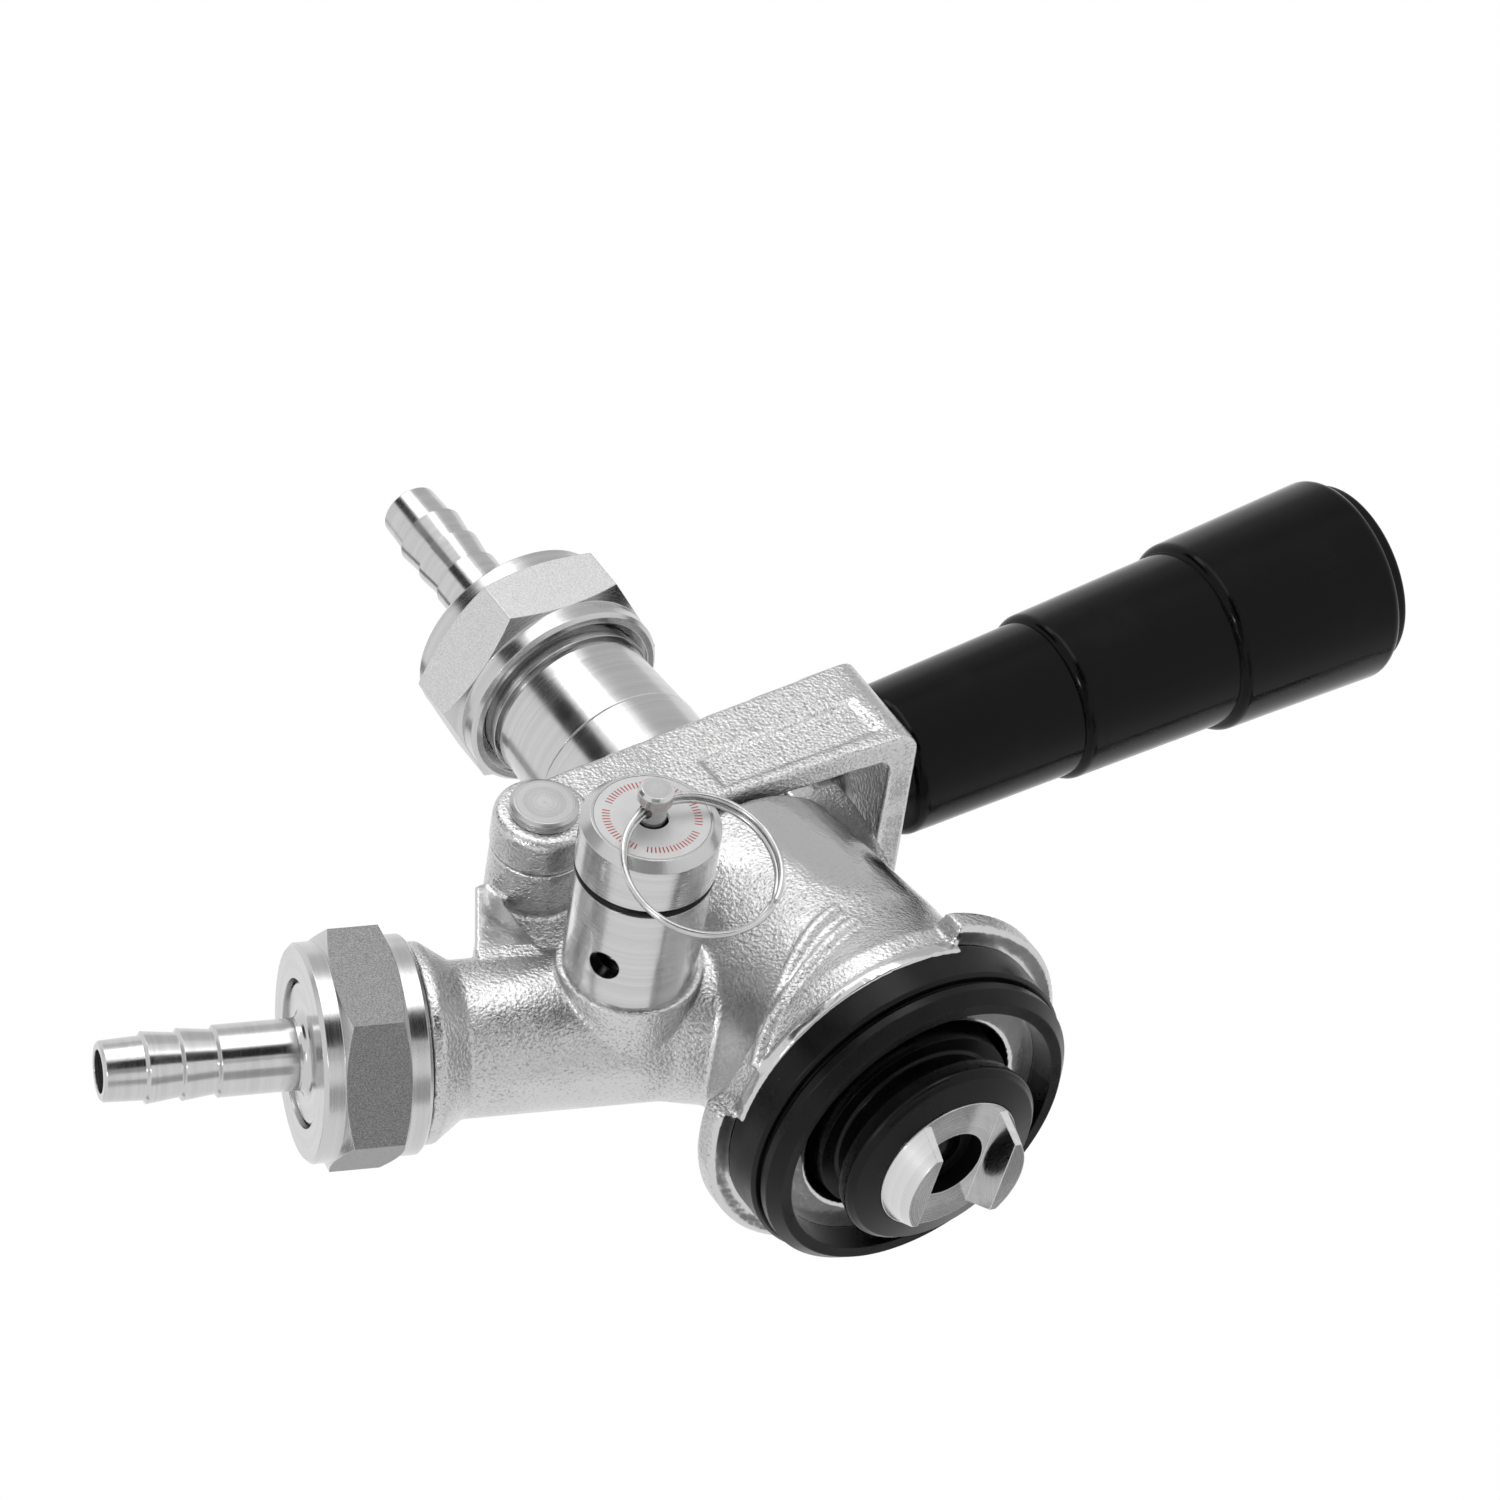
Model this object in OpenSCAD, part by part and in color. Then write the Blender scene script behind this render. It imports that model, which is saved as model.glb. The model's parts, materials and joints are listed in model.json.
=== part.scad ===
// Keg coupler: a bayonet casting with a sliding probe, a yoke lever with a draw-out grip,
// a gas inlet arm, a beer outlet on top and a pull-ring relief valve on the front.
// +Z runs from the keg up along the probe, the gas inlet points to -X, the grip to +X,
// and the relief valve faces -Y. The origin is on the probe axis at the bottom seal's face.
// The pieces are drawn with the lever down and the probe pushed out.

/* [Probe] */
// Outer radius of the probe where it slides in the body
probe_r = 11.85; // [11.5:0.05:12]
// Height of the seam between probe and outlet fitting
probe_seam_z = 73.2; // [72:0.1:76]
// Radius of the probe's nose inside its seal
probe_nose_r = 9; // [8.6:0.1:9.4]
// Height of the shoulder that the probe seal seats on
probe_shoulder_z = 9; // [8:0.1:10]
// Radius of the beer way
beer_way_r = 5.2; // [4.8:0.1:5.4]
// Radius of the outlet fitting just below its nut
outlet_neck_r = 11.25; // [11:0.05:11.4]

/* [Probe seal and tip] */
// Radius of the probe seal's lower flange
probe_seal_r = 14; // [13.6:0.1:14.2]
// Radius of the probe seal's upper flange
probe_seal_top_r = 14.2; // [13.8:0.1:14.5]
// Radius of the groove between the two flanges
probe_seal_groove_r = 11.4; // [10.8:0.1:12]
// Radius of the probe tip
tip_r = 10; // [9.7:0.1:10.2]
// Height of the tip's face, below the bottom seal
tip_face_z = -6.2; // [-6.6:0.1:-6]
// Height of the prongs' blunt ends
prong_end_z = -10.4; // [-12:0.1:-9]
// Distance of each prong's foot from the axis
prong_foot_x = 5.4; // [5.1:0.1:6]
// Distance of each prong's blunt end from the axis
prong_end_x = 5.7; // [5.2:0.1:6.6]
// Radius of the hole in the tip's face
tip_hole_r = 4.95; // [4.8:0.05:5.1]
// Radius of the check ball
ball_r = 4.2; // [4:0.05:4.3]

/* [Bottom seal] */
// Thickness of the seal's upper band round the nose
seal_band_t = 2.4; // [2.2:0.05:2.7]
// Reach of the seal's lip beyond the nose
seal_lip_t = 1.7; // [1.5:0.05:1.9]
// Reach of the seal's flat face beyond the nose
seal_face_t = 0.3; // [0.1:0.05:0.6]
// Reach of the seal under the nose, from the nose's rim inwards
seal_open_t = 1.2; // [1:0.05:1.6]
// Height of the seal
seal_h = 9; // [8.6:0.1:9.4]

/* [Body casting] */
// Height of the body's floor above the seal's face
floor_z = 3.5; // [3.2:0.1:3.8]
// Radius of the nose inside the bottom seal
nose_r = 20.6; // [20.2:0.1:21]
// Height of the column's top
column_top_z = 47.1; // [46.7:0.1:47.1]
// Radius of the column at its top
column_top_r = 17; // [16.6:0.1:17.3]
// Radius of the column's foot
column_foot_r = 19.3; // [19:0.1:19.8]
// Height of the column's foot
column_foot_z = 24; // [23:0.1:26]
// Thickness of the skirt round the nose
skirt_t = 2.3; // [2.1:0.05:2.5]
// Reach of the bayonet lugs beyond the skirt
lug_reach = 2.9; // [2.5:0.05:3.3]
// Thickness of a lug at its rim
lug_t = 3.4; // [3:0.1:4.2]
// Angle that a lug spans
lug_span = 84; // [70:1:95]
// Radius of the gas chamber at the keg end
chamber_r = 15; // [14.8:0.1:15.4]

/* [Gas inlet] */
// Height at which the gas arm's axis meets the probe axis
gas_z = 24.4; // [24:0.1:25]
// Rise of the gas arm
gas_tilt = 18.3; // [16:0.1:20]
// Radius of the gas arm
arm_r = 10.1; // [9.8:0.1:10.4]
// Distance from the probe axis to the gas nut's inner end
gas_nut_s = 53.85; // [53:0.05:55]
// Radius of the gas way
gas_way_r = 5; // [4.5:0.1:5.4]

/* [Union nuts and hose barbs] */
// Radius of a nut's round collars
collar_r = 14; // [13.8:0.1:14.2]
// Width of the hexagon across its flats
hex_af = 28.2; // [28.1:0.05:28.4]
// Length of a nut
nut_l = 14.05; // [13.8:0.05:14.6]
// Length of the collar next to the body
nut_inner_l = 2.65; // [2.4:0.05:2.9]
// Length of the hexagon
hex_l = 8.9; // [8.4:0.1:9.3]
// Radius of the union thread
thread_r = 11.45; // [11.35:0.05:11.5]
// Radius of the hole in a nut's end
nut_hole_r = 9.55; // [9.45:0.05:9.7]
// Radius of the hose barbs over their ridges
barb_r = 4.6; // [4.4:0.1:4.8]
// Radius of the barb's tip
barb_tip_r = 3.9; // [3.7:0.1:4]
// Radius of the bore through a barb
barb_bore_r = 2.8; // [2.5:0.1:3]
// Length of a barb outside its nut
barb_l = 25.8; // [25:0.1:28]
// Spacing of the barb's ridges
ridge_pitch = 4.6; // [4.2:0.1:4.8]

/* [Lever] */
// Distance of the pivot from the probe axis
pivot_x = 26.1; // [25.9:0.1:27]
// Height of the pivot
pivot_z = 53.5; // [53.3:0.1:53.8]
// Radius of the pivot pin
pivot_pin_r = 3; // [2.8:0.1:3.2]
// Width over the lever's two prongs
yoke_w = 36; // [35.6:0.1:36.6]
// Width between the two prongs
yoke_gap = 28.8; // [28.6:0.1:29]
// Distance from the probe axis to the outer face of the yoke's end wall
yoke_end_x = 27.1; // [26.8:0.1:27.6]
// Thickness of the yoke's end wall
yoke_wall_t = 4; // [3.6:0.1:4.2]
// Height of the yoke's lower edge at its end
yoke_low_z = 46.6; // [46.5:0.1:47]
// Height of the yoke's upper edge at its end
yoke_high_z = 62.3; // [62:0.1:63]
// Radius of the lever's pivot bosses
boss_r = 6.4; // [6.2:0.1:6.6]
// Width over the lever's pivot bosses
boss_w = 40; // [39.6:0.1:40.4]

/* [Grip] */
// Height of the grip's axis at the yoke's end wall
handle_z = 58.65; // [58.4:0.01:58.9]
// Rise of the grip's axis
handle_tilt = 2.92; // [2.5:0.01:3.3]
// Gap between yoke and grip with the latch drawn out
grip_gap = 3.6; // [3.2:0.1:3.8]
// Length of the grip's first step from the yoke's end wall
grip_step_1 = 29.7; // [28:0.1:31]
// Length to the end of the grip's second step
grip_step_2 = 54.2; // [52:0.1:56]
// Length to the end of the grip's third step
grip_step_3 = 80; // [79:0.1:82]
// Radii of the first step, near and far
grip_r_1 = [10.1, 10.65]; // [9:0.05:11]
// Radii of the second step, near and far
grip_r_2 = [11.45, 12.05]; // [11:0.05:12.5]
// Radii of the third step, near and far
grip_r_3 = [13.1, 13.9]; // [12.6:0.05:14.4]
// Radius of the grip's end cap
end_cap_r = 12.5; // [12:0.1:12.8]

/* [Relief valve] */
// Distance of the relief valve from the probe axis
relief_x = 25; // [24.6:0.1:25.4]
// Radius of the valve's housing
relief_r = 8.65; // [8.5:0.05:8.8]
// Distance from the middle plane to the valve's seat on the casting
relief_foot_y = 11.3; // [11.1:0.1:11.6]
// Distance from the middle plane to the top of the housing
relief_top_y = 27.65; // [27.4:0.05:27.9]
// Radius of the valve's cap
cap_r = 8.95; // [8.8:0.05:9.1]
// Height of the cap with its bevel
cap_h = 8.15; // [7.9:0.05:8.4]
// Radius of the vent hole
vent_r = 2.1; // [1.9:0.1:2.3]
// Travel of the valve's stem
relief_travel = 3; // [2:0.1:4]
// Radius of the stem's knob
knob_r = 2.3; // [2.1:0.1:2.4]
// Radius of the stem
stem_r = 1.75; // [1.65:0.05:1.85]
// Radius of the pull ring at the middle of its wire
ring_r = 10; // [9.8:0.05:10.4]
// Radius of the pull ring's wire
ring_wire_r = 0.42; // [0.38:0.01:0.45]
// Tilt of the pull ring at rest
ring_tilt = 15; // [12:0.5:15.5]
// Turn of the pull ring in its hole
ring_turn = 8; // [4:0.5:9]

/* [Hidden] */
$fn = 64;
// Clearance of fitted pieces and of sliding ones, the gap to pieces that only clear each
// other, the smallest edge radius, and the overrun of cuts
fit = 0.05;
slide_fit = 0.06;
clear = 0.3;
edge = 0.4;
over = 1;

// Probe guide, gas chamber and the two rings that seal the probe
chamber_top_z = 27;
upper_chamber_r = 13.4;
guide_z = 35;
o_ring_r = 0.8;
o_ring_side_gap = 0.15;
guide_rings_z = [38.4, 42.8];
nose_groove_h = 1.2;
nose_groove_t = 0.5;

// Casting: fillets, web under the pivot, latch fin, lug ramps
column_round = 1.5;
skirt_r = nose_r + skirt_t;
skirt_z = 12.6;
lug_step = 0.12;
lug_z = seal_h + fit + lug_step;
lug_r = skirt_r + lug_reach;
lug_angle = -30;
lug_back_t = 0.5;
lug_back_h = 4.5;
skirt_lip_h = 1.3;
skirt_lip_t = 0.45;
skirt_lip_top_z = 12;
skirt_lip_lap = 1;
web_t = 18;
web_corner_x = 34.2;
web_corner_z = 54.7;
web_foot_x = 40.5;
web_foot_z = 44.3;
web_sole_x = 37;
web_sole_z = 34;
pivot_boss_r = 6.2;
web_end_turn = 6;
web_pocket_x = 32.4;
web_pocket_z = 50.9;
web_pocket_t = 2.2;
column_core_r = 12;
fin_t = 7;
fin_in_x = 14.8;
fin_foot_z = 28;
fin_foot_x = 17.5;
fin_top_z = 63.4;
fin_gap = 1.2;
fin_notch_x = 19.1;
ramp_r = 0.85;
ramp_upper_turn = [-93.5, -146];
ramp_upper_z = [22.7, 11];
ramp_upper_bend = 1.6;
ramp_lower_turn = [-91, -151];
ramp_lower_z = [19.6, 10.1];
ramp_lower_bend = 1.25;
ramp_steps = 9;
ramp_sides = 8;
ramp_lip = 0.3;

// Gas arm: flare, collar, thread and check valve
arm_flare_s = 48;
arm_collar_s = 52;
arm_collar_r = 12.9;
thread_l = 8.65;
arm_root_r = 11.4;
arm_root_s = [15, 22];
valve_seat_r = 7;
valve_l = 9.5;
valve_flange_t = 2;
valve_nose_r = 5.4;
valve_tip_r = 3.2;
valve_hole_r = 2;
valve_slit = 0.6;

// Washers, tail pieces and nuts
washer_t = 1.5;
washer_in_r = 6;
tail_flange_r = 10.9;
tail_flange_t = 2;
tail_hub_r = 9.2;
tail_hub_sink = 0.5;
tail_fillet = 1.4;
nut_lip_t = 1.85;
hex_corner_r = 16.25;
hex_chamfer = 1.2;
collar_chamfer = 0.5;
nut_entry_r = 12.6;
nut_entry_l = 1.2;
nut_turn_gas = 56;
nut_turn_beer = 1;
ridge_drop = 0.5;
ridge_back = 0.35;
ridge_first = 5.7;
barb_lip = 0.3;

// Outlet fitting
outlet_foot_r = 11.75;
outlet_neck_z = 82.6;
outlet_ring_r = 11.65;
outlet_ring_h = 1.1;
outlet_groove_r = 10.6;
outlet_groove_h = 0.8;
beer_nut_z = 86.65;
spigot_r = 8;
spigot_l = 9;
seam_chamfer = 0.15;

// Probe tip, seal and ball cage
tip_flange_t = 1.9;
tip_spigot_r = 7;
prong_end_r = 8.6;
prong_turn = 11;
prong_foot_w = 15;
prong_end_w = 11;
tip_hole_depth = 2.6;
ball_seat_r = 3.4;
ball_seat_t = 1.2;
ball_gap = 0.02;
cage_r = 4.7;
cage_top_z = 6.8;
stop_t = 1.4;
stop_ring_r = 5.6;
stop_bar_w = 1.8;
seal_flange_t = 2.4;
seal_groove_h = 3.9;
seal_round = 0.8;
seal_nose_rise = 0.2;
seal_nose_drop = 0.7;
seal_open_taper = 0.5;
band_foot_z = 3.5;
lip_top_z = 3.1;
lip_groove_t = 0.6;
lip_bevel_h = 1.5;

// Drive ring and its two pins
drive_ring_r = 13.8;
drive_ring_h = 10.8;
drive_ring_z = column_top_z + clear;
drive_pin_r = 2.4;
drive_pin_in = 10;
drive_pin_out = 16.5;
drive_pin_z = pivot_z;
slot_gap = 0.5;
slot_end_gap = 0.6;
slot_run = 2.5;
slot_floor_gap = 0.25;

// Yoke: corners, outer recess and the bore for the handle tube
yoke_corner = 3.2;
yoke_inner_corner = 2;
yoke_arch_x = 2;
yoke_arch_z = 47.7;
recess_t = 0.4;
recess_x = [-2, 22.6];
recess_low_share = [0.14, 0.16];
recess_high_share = [0.56, 0.58];
boss_round = 1.2;
pin_head_r = 4.44;
pin_head_t = 1.4;
pin_step_r = 3.9;
pin_step_t = 0.35;
pin_tail = 1.4;
clip_r = 4.7;
clip_t = 0.9;
clip_mouth = 4;
pin_groove_t = 0.35;

// Handle: tube, rod, spring and end cap
tube_r = 5.4;
tube_in_r = 3.9;
tube_l = 42;
tube_guide_l = 4.6;
rod_r = 2.4;
rod_reach = 0.7;
rod_collar_r = 3.6;
rod_collar_s = 4.4;
rod_collar_l = 1.8;
spring_seat_l = 2;
spring_wire_r = 0.28;
spring_mid_r = 3.1;
spring_turns = 9;
tube_end_gap = 4;
grip_bore_l = tube_l + tube_end_gap;
rod_end_gap = 29;
grip_round = 1.4;
shoulder_round = 1.4;
end_cap_t = 1.8;
end_cap_spigot_r = 5;
end_cap_spigot_l = 3;
end_cap_round = 0.7;

// Relief valve: inside of the housing, cap, stem and springs
relief_stud_r = 6;
relief_stud_l = 6.6;
relief_port_r = 3;
relief_seat_y = 13.2;
relief_in_r = 6.7;
relief_mouth_r = 7.8;
relief_mouth_l = 3;
relief_pad_r = 9.3;
cap_o_ring_r = 0.55;
cap_spigot_l = 2.2;
cap_bevel = 1.2;
cap_bevel_h = 1.25;
cap_recess_r = 7.4;
cap_recess_t = 0.45;
cap_eye_r = 2.1;
disc_t = 0.4;
disc_hole_r = 2.15;
vent_y = 17.85;
vent_turn = 210.8;
poppet_r = 5.2;
poppet_t = 1.6;
poppet_seal_t = 1.2;
poppet_seal_r = 4.6;
stem_eye_y = 38.9;
stem_eye_r = 1.3;
knob_foot_y = 40;
knob_top_y = 41.9;
relief_spring_wire_r = 0.45;
relief_spring_mid_r = 3.6;
relief_spring_turns = 4;
ring_lobe_gap = 0.37;

relief_z = gas_z + relief_x * tan(gas_tilt);
cap_foot_y = relief_top_y + 2 * cap_o_ring_r;
cap_top_y = cap_foot_y + cap_h;
arm_end_s = gas_nut_s + thread_l;
ball_z = tip_face_z + tip_hole_depth + ball_seat_t + sqrt(ball_r * ball_r - ball_seat_r * ball_seat_r) + ball_gap;

// Points of an arc in a plane, from angle a to angle b
function arc(c, r, a, b, n = 6) =
  [for (i = [0:n]) let (t = a + (b - a) * i / n) [c[0] + r * cos(t), c[1] + r * sin(t)]];

// A ring about Z that starts at height z
module ring_at(z, h, r_out, r_in) {
  translate([0, 0, z]) difference() {
    cylinder(h = h, r = r_out);
    translate([0, 0, -over]) cylinder(h = h + 2 * over, r = r_in);
  }
}

// A round ring of round section about Z
module o_ring(z, r_mid, r_wire) {
  translate([0, 0, z]) rotate_extrude() translate([r_mid, 0]) circle(r = r_wire, $fn = 24);
}

// Frames: along the gas arm, along the handle, and outwards along -Y at the relief valve
module on_gas_arm() {
  translate([0, 0, gas_z]) rotate([0, gas_tilt - 90, 0]) children();
}

module on_handle() {
  translate([yoke_end_x, 0, handle_z]) rotate([0, 90 - handle_tilt, 0]) children();
}

module on_relief() {
  translate([-relief_x, 0, relief_z]) rotate([90, 0, 0]) children();
}

module at_pivot() {
  translate([-pivot_x, 0, pivot_z]) rotate([90, 0, 0]) children();
}

// A flat profile drawn in X and Z, with thickness t about the middle plane
module in_xz(t) {
  rotate([90, 0, 0]) translate([0, 0, -t / 2]) linear_extrude(height = t) children();
}

// A tube swept along points by a formula: rings of sides points across the path
function unit(v) = v / norm(v);
function along(p, i) = unit(p[min(i + 1, len(p) - 1)] - p[max(i - 1, 0)]);
module swept_tube(path, r, up, sides) {
  n = len(path);
  pts = [for (i = [0:n - 1], k = [0:sides - 1])
    let (t = along(path, i), a = unit(cross(up, t)), b = cross(t, a), w = 360 * k / sides)
    path[i] + r * (cos(w) * a + sin(w) * b)];
  walls = [for (i = [0:n - 2], k = [0:sides - 1])
    let (m = (k + 1) % sides, p = i * sides, q = p + sides)
    each [[p + k, q + k, q + m], [p + k, q + m, p + m]]];
  near = [for (k = [1:sides - 2]) [0, k, k + 1]];
  far = [for (k = [1:sides - 2]) let (p = (n - 1) * sides) [p, p + k + 1, p + k]];
  polyhedron(points = pts, faces = concat(walls, near, far));
}

// A compression spring about Z: its wire leaves each seat square and bends into the coil
function coil_turn(t) = t < 0.5 ? ease(2 * t) / 2 : 1 - ease(2 - 2 * t) / 2;
function ease(t) = t < lead_share ? t * t / (2 * lead_share * (1 - lead_share / 2))
  : (t - lead_share / 2) / (1 - lead_share / 2);
lead_share = 0.12;
rings_per_turn = 8;
function coil_path(l, r, turns) =
  let (n = turns * rings_per_turn + rings_per_turn)
  [for (i = [0:n]) let (t = i / n, w = 360 * turns * coil_turn(t)) [r * cos(w), r * sin(w), l * t]];
module spring(l, r_mid, r_wire, turns) {
  swept_tube(coil_path(l, r_mid, turns), r_wire, [0, 0.3, 1], 6);
}

// Body casting: the radius of its column at height z
function column_at(z) =
  let (s = min(1, max(0, (z - skirt_z) / (column_foot_z - skirt_z))))
  skirt_r + (column_foot_r - skirt_r) * (1 - (1 - s) * (1 - s));

module column_outline() {
  polygon(concat(
    [[0, floor_z], [nose_r - edge, floor_z], [nose_r, floor_z + edge],
      [nose_r, seal_h - nose_groove_h], [nose_r - nose_groove_t, seal_h - nose_groove_h],
      [nose_r - nose_groove_t, seal_h + fit], [skirt_r, seal_h + fit], [skirt_r, skirt_z]],
    [for (t = [1:7]) let (z = skirt_z + (column_foot_z - skirt_z) * t / 7) [column_at(z), z]],
    arc([column_top_r - column_round, column_top_z - column_round], column_round, 0, 90),
    [[0, column_top_z]]));
}

module lug(turn) {
  rotate([0, 0, turn - lug_span / 2]) rotate_extrude(angle = lug_span) polygon([
    [column_core_r + over, lug_z], [lug_r - edge, lug_z], [lug_r, lug_z + edge],
    [lug_r, lug_z + lug_t - edge], [lug_r - edge, lug_z + lug_t],
    [skirt_r - lug_back_t, lug_z + lug_back_h], [column_core_r + over, lug_z + lug_back_h]]);
}

// Between the lugs the skirt's rim reaches down over the seal's band
module skirt_lip(turn) {
  span = 180 - lug_span + 2 * skirt_lip_lap;
  rotate([0, 0, turn + lug_span / 2 - skirt_lip_lap]) rotate_extrude(angle = span) polygon([
    [nose_r + seal_band_t + fit, seal_h - skirt_lip_h],
    [skirt_r + skirt_lip_t, seal_h - skirt_lip_h], [skirt_r - edge, skirt_lip_top_z],
    [column_core_r + over, skirt_lip_top_z], [column_core_r + over, lug_z],
    [nose_r + seal_band_t + fit, lug_z]]);
}

// The two ridges of the ramp that climbs round the skirt between two lugs
module ridge(turn, span, height, bend) {
  path = [for (i = [0:ramp_steps]) let (s = i / ramp_steps,
      w = span[0] + (span[1] - span[0]) * s + turn,
      z = height[0] + (height[1] - height[0]) * pow(s, bend), r = column_at(z) + ramp_lip)
    [r * cos(w), r * sin(w), z]];
  swept_tube(path, ramp_r, [0, 0, 1], ramp_sides);
}

module ramp(turn) {
  ridge(turn, ramp_upper_turn, ramp_upper_z, ramp_upper_bend);
  ridge(turn, ramp_lower_turn, ramp_lower_z, ramp_lower_bend);
}

module web_outline() {
  polygon([
    [-web_corner_x, web_corner_z], [-web_foot_x, web_foot_z], [-web_sole_x, web_sole_z],
    [-column_core_r, gas_z], [-column_core_r, column_top_z],
    [-column_top_r + column_round, column_top_z - edge],
    [-pivot_x + pivot_boss_r * cos(40), pivot_z - pivot_boss_r * sin(40)],
    [-pivot_x, pivot_z]]);
}

// The web, thinner within its rim under the boss
module web() {
  difference() {
    in_xz(web_t) web_outline();
    translate([-web_corner_x, -web_t / 2, web_corner_z])
      rotate([0, atan((web_foot_x - web_corner_x) / (web_corner_z - web_foot_z)), 0])
      rotate([0, 0, -web_end_turn]) translate([-web_t, -over, -2 * web_t]) cube([web_t, 2 * web_t, 3 * web_t]);
    for (side = [-1, 1]) translate([0, side * (web_t + over - web_pocket_t) / 2, 0])
      in_xz(web_pocket_t + over) polygon([
        [-web_pocket_x, web_pocket_z], [-web_pocket_x, gas_z], [-column_core_r, gas_z],
        [-column_core_r, web_pocket_z]]);
  }
}

module fin_outline() {
  reach = yoke_end_x - yoke_wall_t + pivot_x - fin_gap;
  low = asin((fin_foot_z + fin_foot_x - pivot_z) / reach);
  high = asin((fin_top_z - pivot_z) / reach);
  notch_z = handle_z - (yoke_end_x - fin_notch_x) * tan(handle_tilt);
  difference() {
    polygon(concat(
      [[fin_in_x, column_top_z - column_round], [column_core_r, column_top_z - column_round - edge],
        [column_core_r, fin_foot_z], [fin_foot_x, fin_foot_z]],
      arc([-pivot_x, pivot_z], reach, low, high, 10),
      [[fin_in_x, fin_top_z]]));
    translate([fin_notch_x, notch_z - rod_r - clear])
      square([fin_top_z, 2 * (rod_r + clear)]);
  }
}

module body() {
  color("silver") difference() {
    union() {
      rotate_extrude() column_outline();
      for (turn = [lug_angle, lug_angle + 180]) {
        lug(turn);
        skirt_lip(turn);
      }
      for (turn = [0, 180]) ramp(turn);
      on_gas_arm() {
        cylinder(h = arm_collar_s, r = arm_r);
        translate([0, 0, arm_root_s[0]])
          cylinder(h = arm_root_s[1] - arm_root_s[0], r1 = arm_root_r, r2 = arm_r);
        translate([0, 0, arm_flare_s])
          cylinder(h = arm_collar_s - arm_flare_s, r1 = arm_r, r2 = arm_collar_r);
        translate([0, 0, arm_collar_s])
          cylinder(h = gas_nut_s - clear - arm_collar_s, r = arm_collar_r);
        translate([0, 0, arm_collar_s]) cylinder(h = arm_end_s - arm_collar_s, r = thread_r);
      }
      on_relief() cylinder(h = relief_foot_y, r = relief_pad_r);
      web();
      at_pivot() cylinder(h = yoke_gap - 2 * clear, r = pivot_boss_r, center = true);
      in_xz(fin_t) fin_outline();
    }
    translate([0, 0, floor_z - over]) cylinder(h = chamber_top_z - floor_z + over, r = chamber_r);
    translate([0, 0, floor_z]) cylinder(h = guide_z - floor_z, r = upper_chamber_r);
    translate([0, 0, floor_z]) cylinder(h = column_top_z, r = probe_r + slide_fit);
    for (z = guide_rings_z)
      translate([0, 0, z - o_ring_r - o_ring_side_gap])
        cylinder(h = 2 * (o_ring_r + o_ring_side_gap), r = probe_r + slide_fit + 2 * o_ring_r + fit);
    on_gas_arm() {
      cylinder(h = arm_end_s + over, r = gas_way_r);
      translate([0, 0, arm_end_s - valve_l]) cylinder(h = valve_l + over, r = valve_seat_r + fit);
    }
    on_relief() {
      cylinder(h = relief_foot_y, r = relief_port_r);
      translate([0, 0, relief_foot_y - relief_stud_l - clear])
        cylinder(h = relief_stud_l + clear + over, r = relief_stud_r + fit);
    }
    at_pivot() cylinder(h = yoke_gap + over, r = pivot_pin_r + fit, center = true);
  }
}

module bottom_seal() {
  color([0.05, 0.05, 0.055]) rotate_extrude() polygon([
    [nose_r - seal_open_t, 0], [nose_r + seal_face_t, 0],
    [nose_r + seal_lip_t, lip_bevel_h], [nose_r + seal_lip_t, lip_top_z - edge],
    [nose_r + seal_lip_t - lip_groove_t, lip_top_z], [nose_r + seal_lip_t - lip_groove_t, band_foot_z],
    [nose_r + seal_band_t - edge, band_foot_z], [nose_r + seal_band_t, band_foot_z + edge],
    [nose_r + seal_band_t, seal_h], [nose_r + fit, seal_h], [nose_r + fit, floor_z - fit],
    [nose_r - seal_open_t - seal_open_taper, floor_z - fit]]);
}

module guide_o_ring(z) {
  color("black") o_ring(z, probe_r + slide_fit + o_ring_r, o_ring_r);
}

module guide_o_ring_lower() {
  guide_o_ring(guide_rings_z[0]);
}

module guide_o_ring_upper() {
  guide_o_ring(guide_rings_z[1]);
}

module pivot_pin() {
  groove_s = boss_w / 2 + fit;
  color("gainsboro") at_pivot() difference() {
    union() {
      translate([0, 0, -groove_s - clip_t - pin_tail])
        cylinder(h = 2 * groove_s + clip_t + pin_tail, r = pivot_pin_r);
      translate([0, 0, groove_s]) cylinder(h = pin_head_t - pin_step_t, r = pin_head_r);
      translate([0, 0, groove_s + pin_head_t - pin_step_t])
        cylinder(h = pin_step_t, r1 = pin_head_r, r2 = pin_step_r);
    }
    ring_at(-groove_s - clip_t - fit, clip_t + fit, pivot_pin_r + over, pivot_pin_r - pin_groove_t);
  }
}

module pivot_clip() {
  color("dimgray") at_pivot() difference() {
    ring_at(-boss_w / 2 - fit - clip_t, clip_t, clip_r, pivot_pin_r - pin_groove_t + fit);
    translate([-clip_mouth / 2, 0, -boss_w]) cube([clip_mouth, clip_r + over, boss_w]);
  }
}

module gas_check_valve() {
  color([0.1, 0.1, 0.1]) on_gas_arm() translate([0, 0, arm_end_s - valve_l]) difference() {
    rotate_extrude() polygon([
      [0, fit], [valve_tip_r, fit], [valve_nose_r, valve_l / 2], [valve_nose_r, valve_l - valve_flange_t],
      [valve_seat_r, valve_l - valve_flange_t], [valve_seat_r, valve_l], [0, valve_l]]);
    translate([0, 0, valve_l / 3]) cylinder(h = valve_l, r = valve_hole_r);
    translate([-valve_slit / 2, -valve_hole_r, -over])
      cube([valve_slit, 2 * valve_hole_r, valve_l]);
  }
}

// Union washer, tail piece and nut, each standing on the end of the male thread
module union_washer() {
  ring_at(0, washer_t, tail_flange_r, washer_in_r);
}

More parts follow.
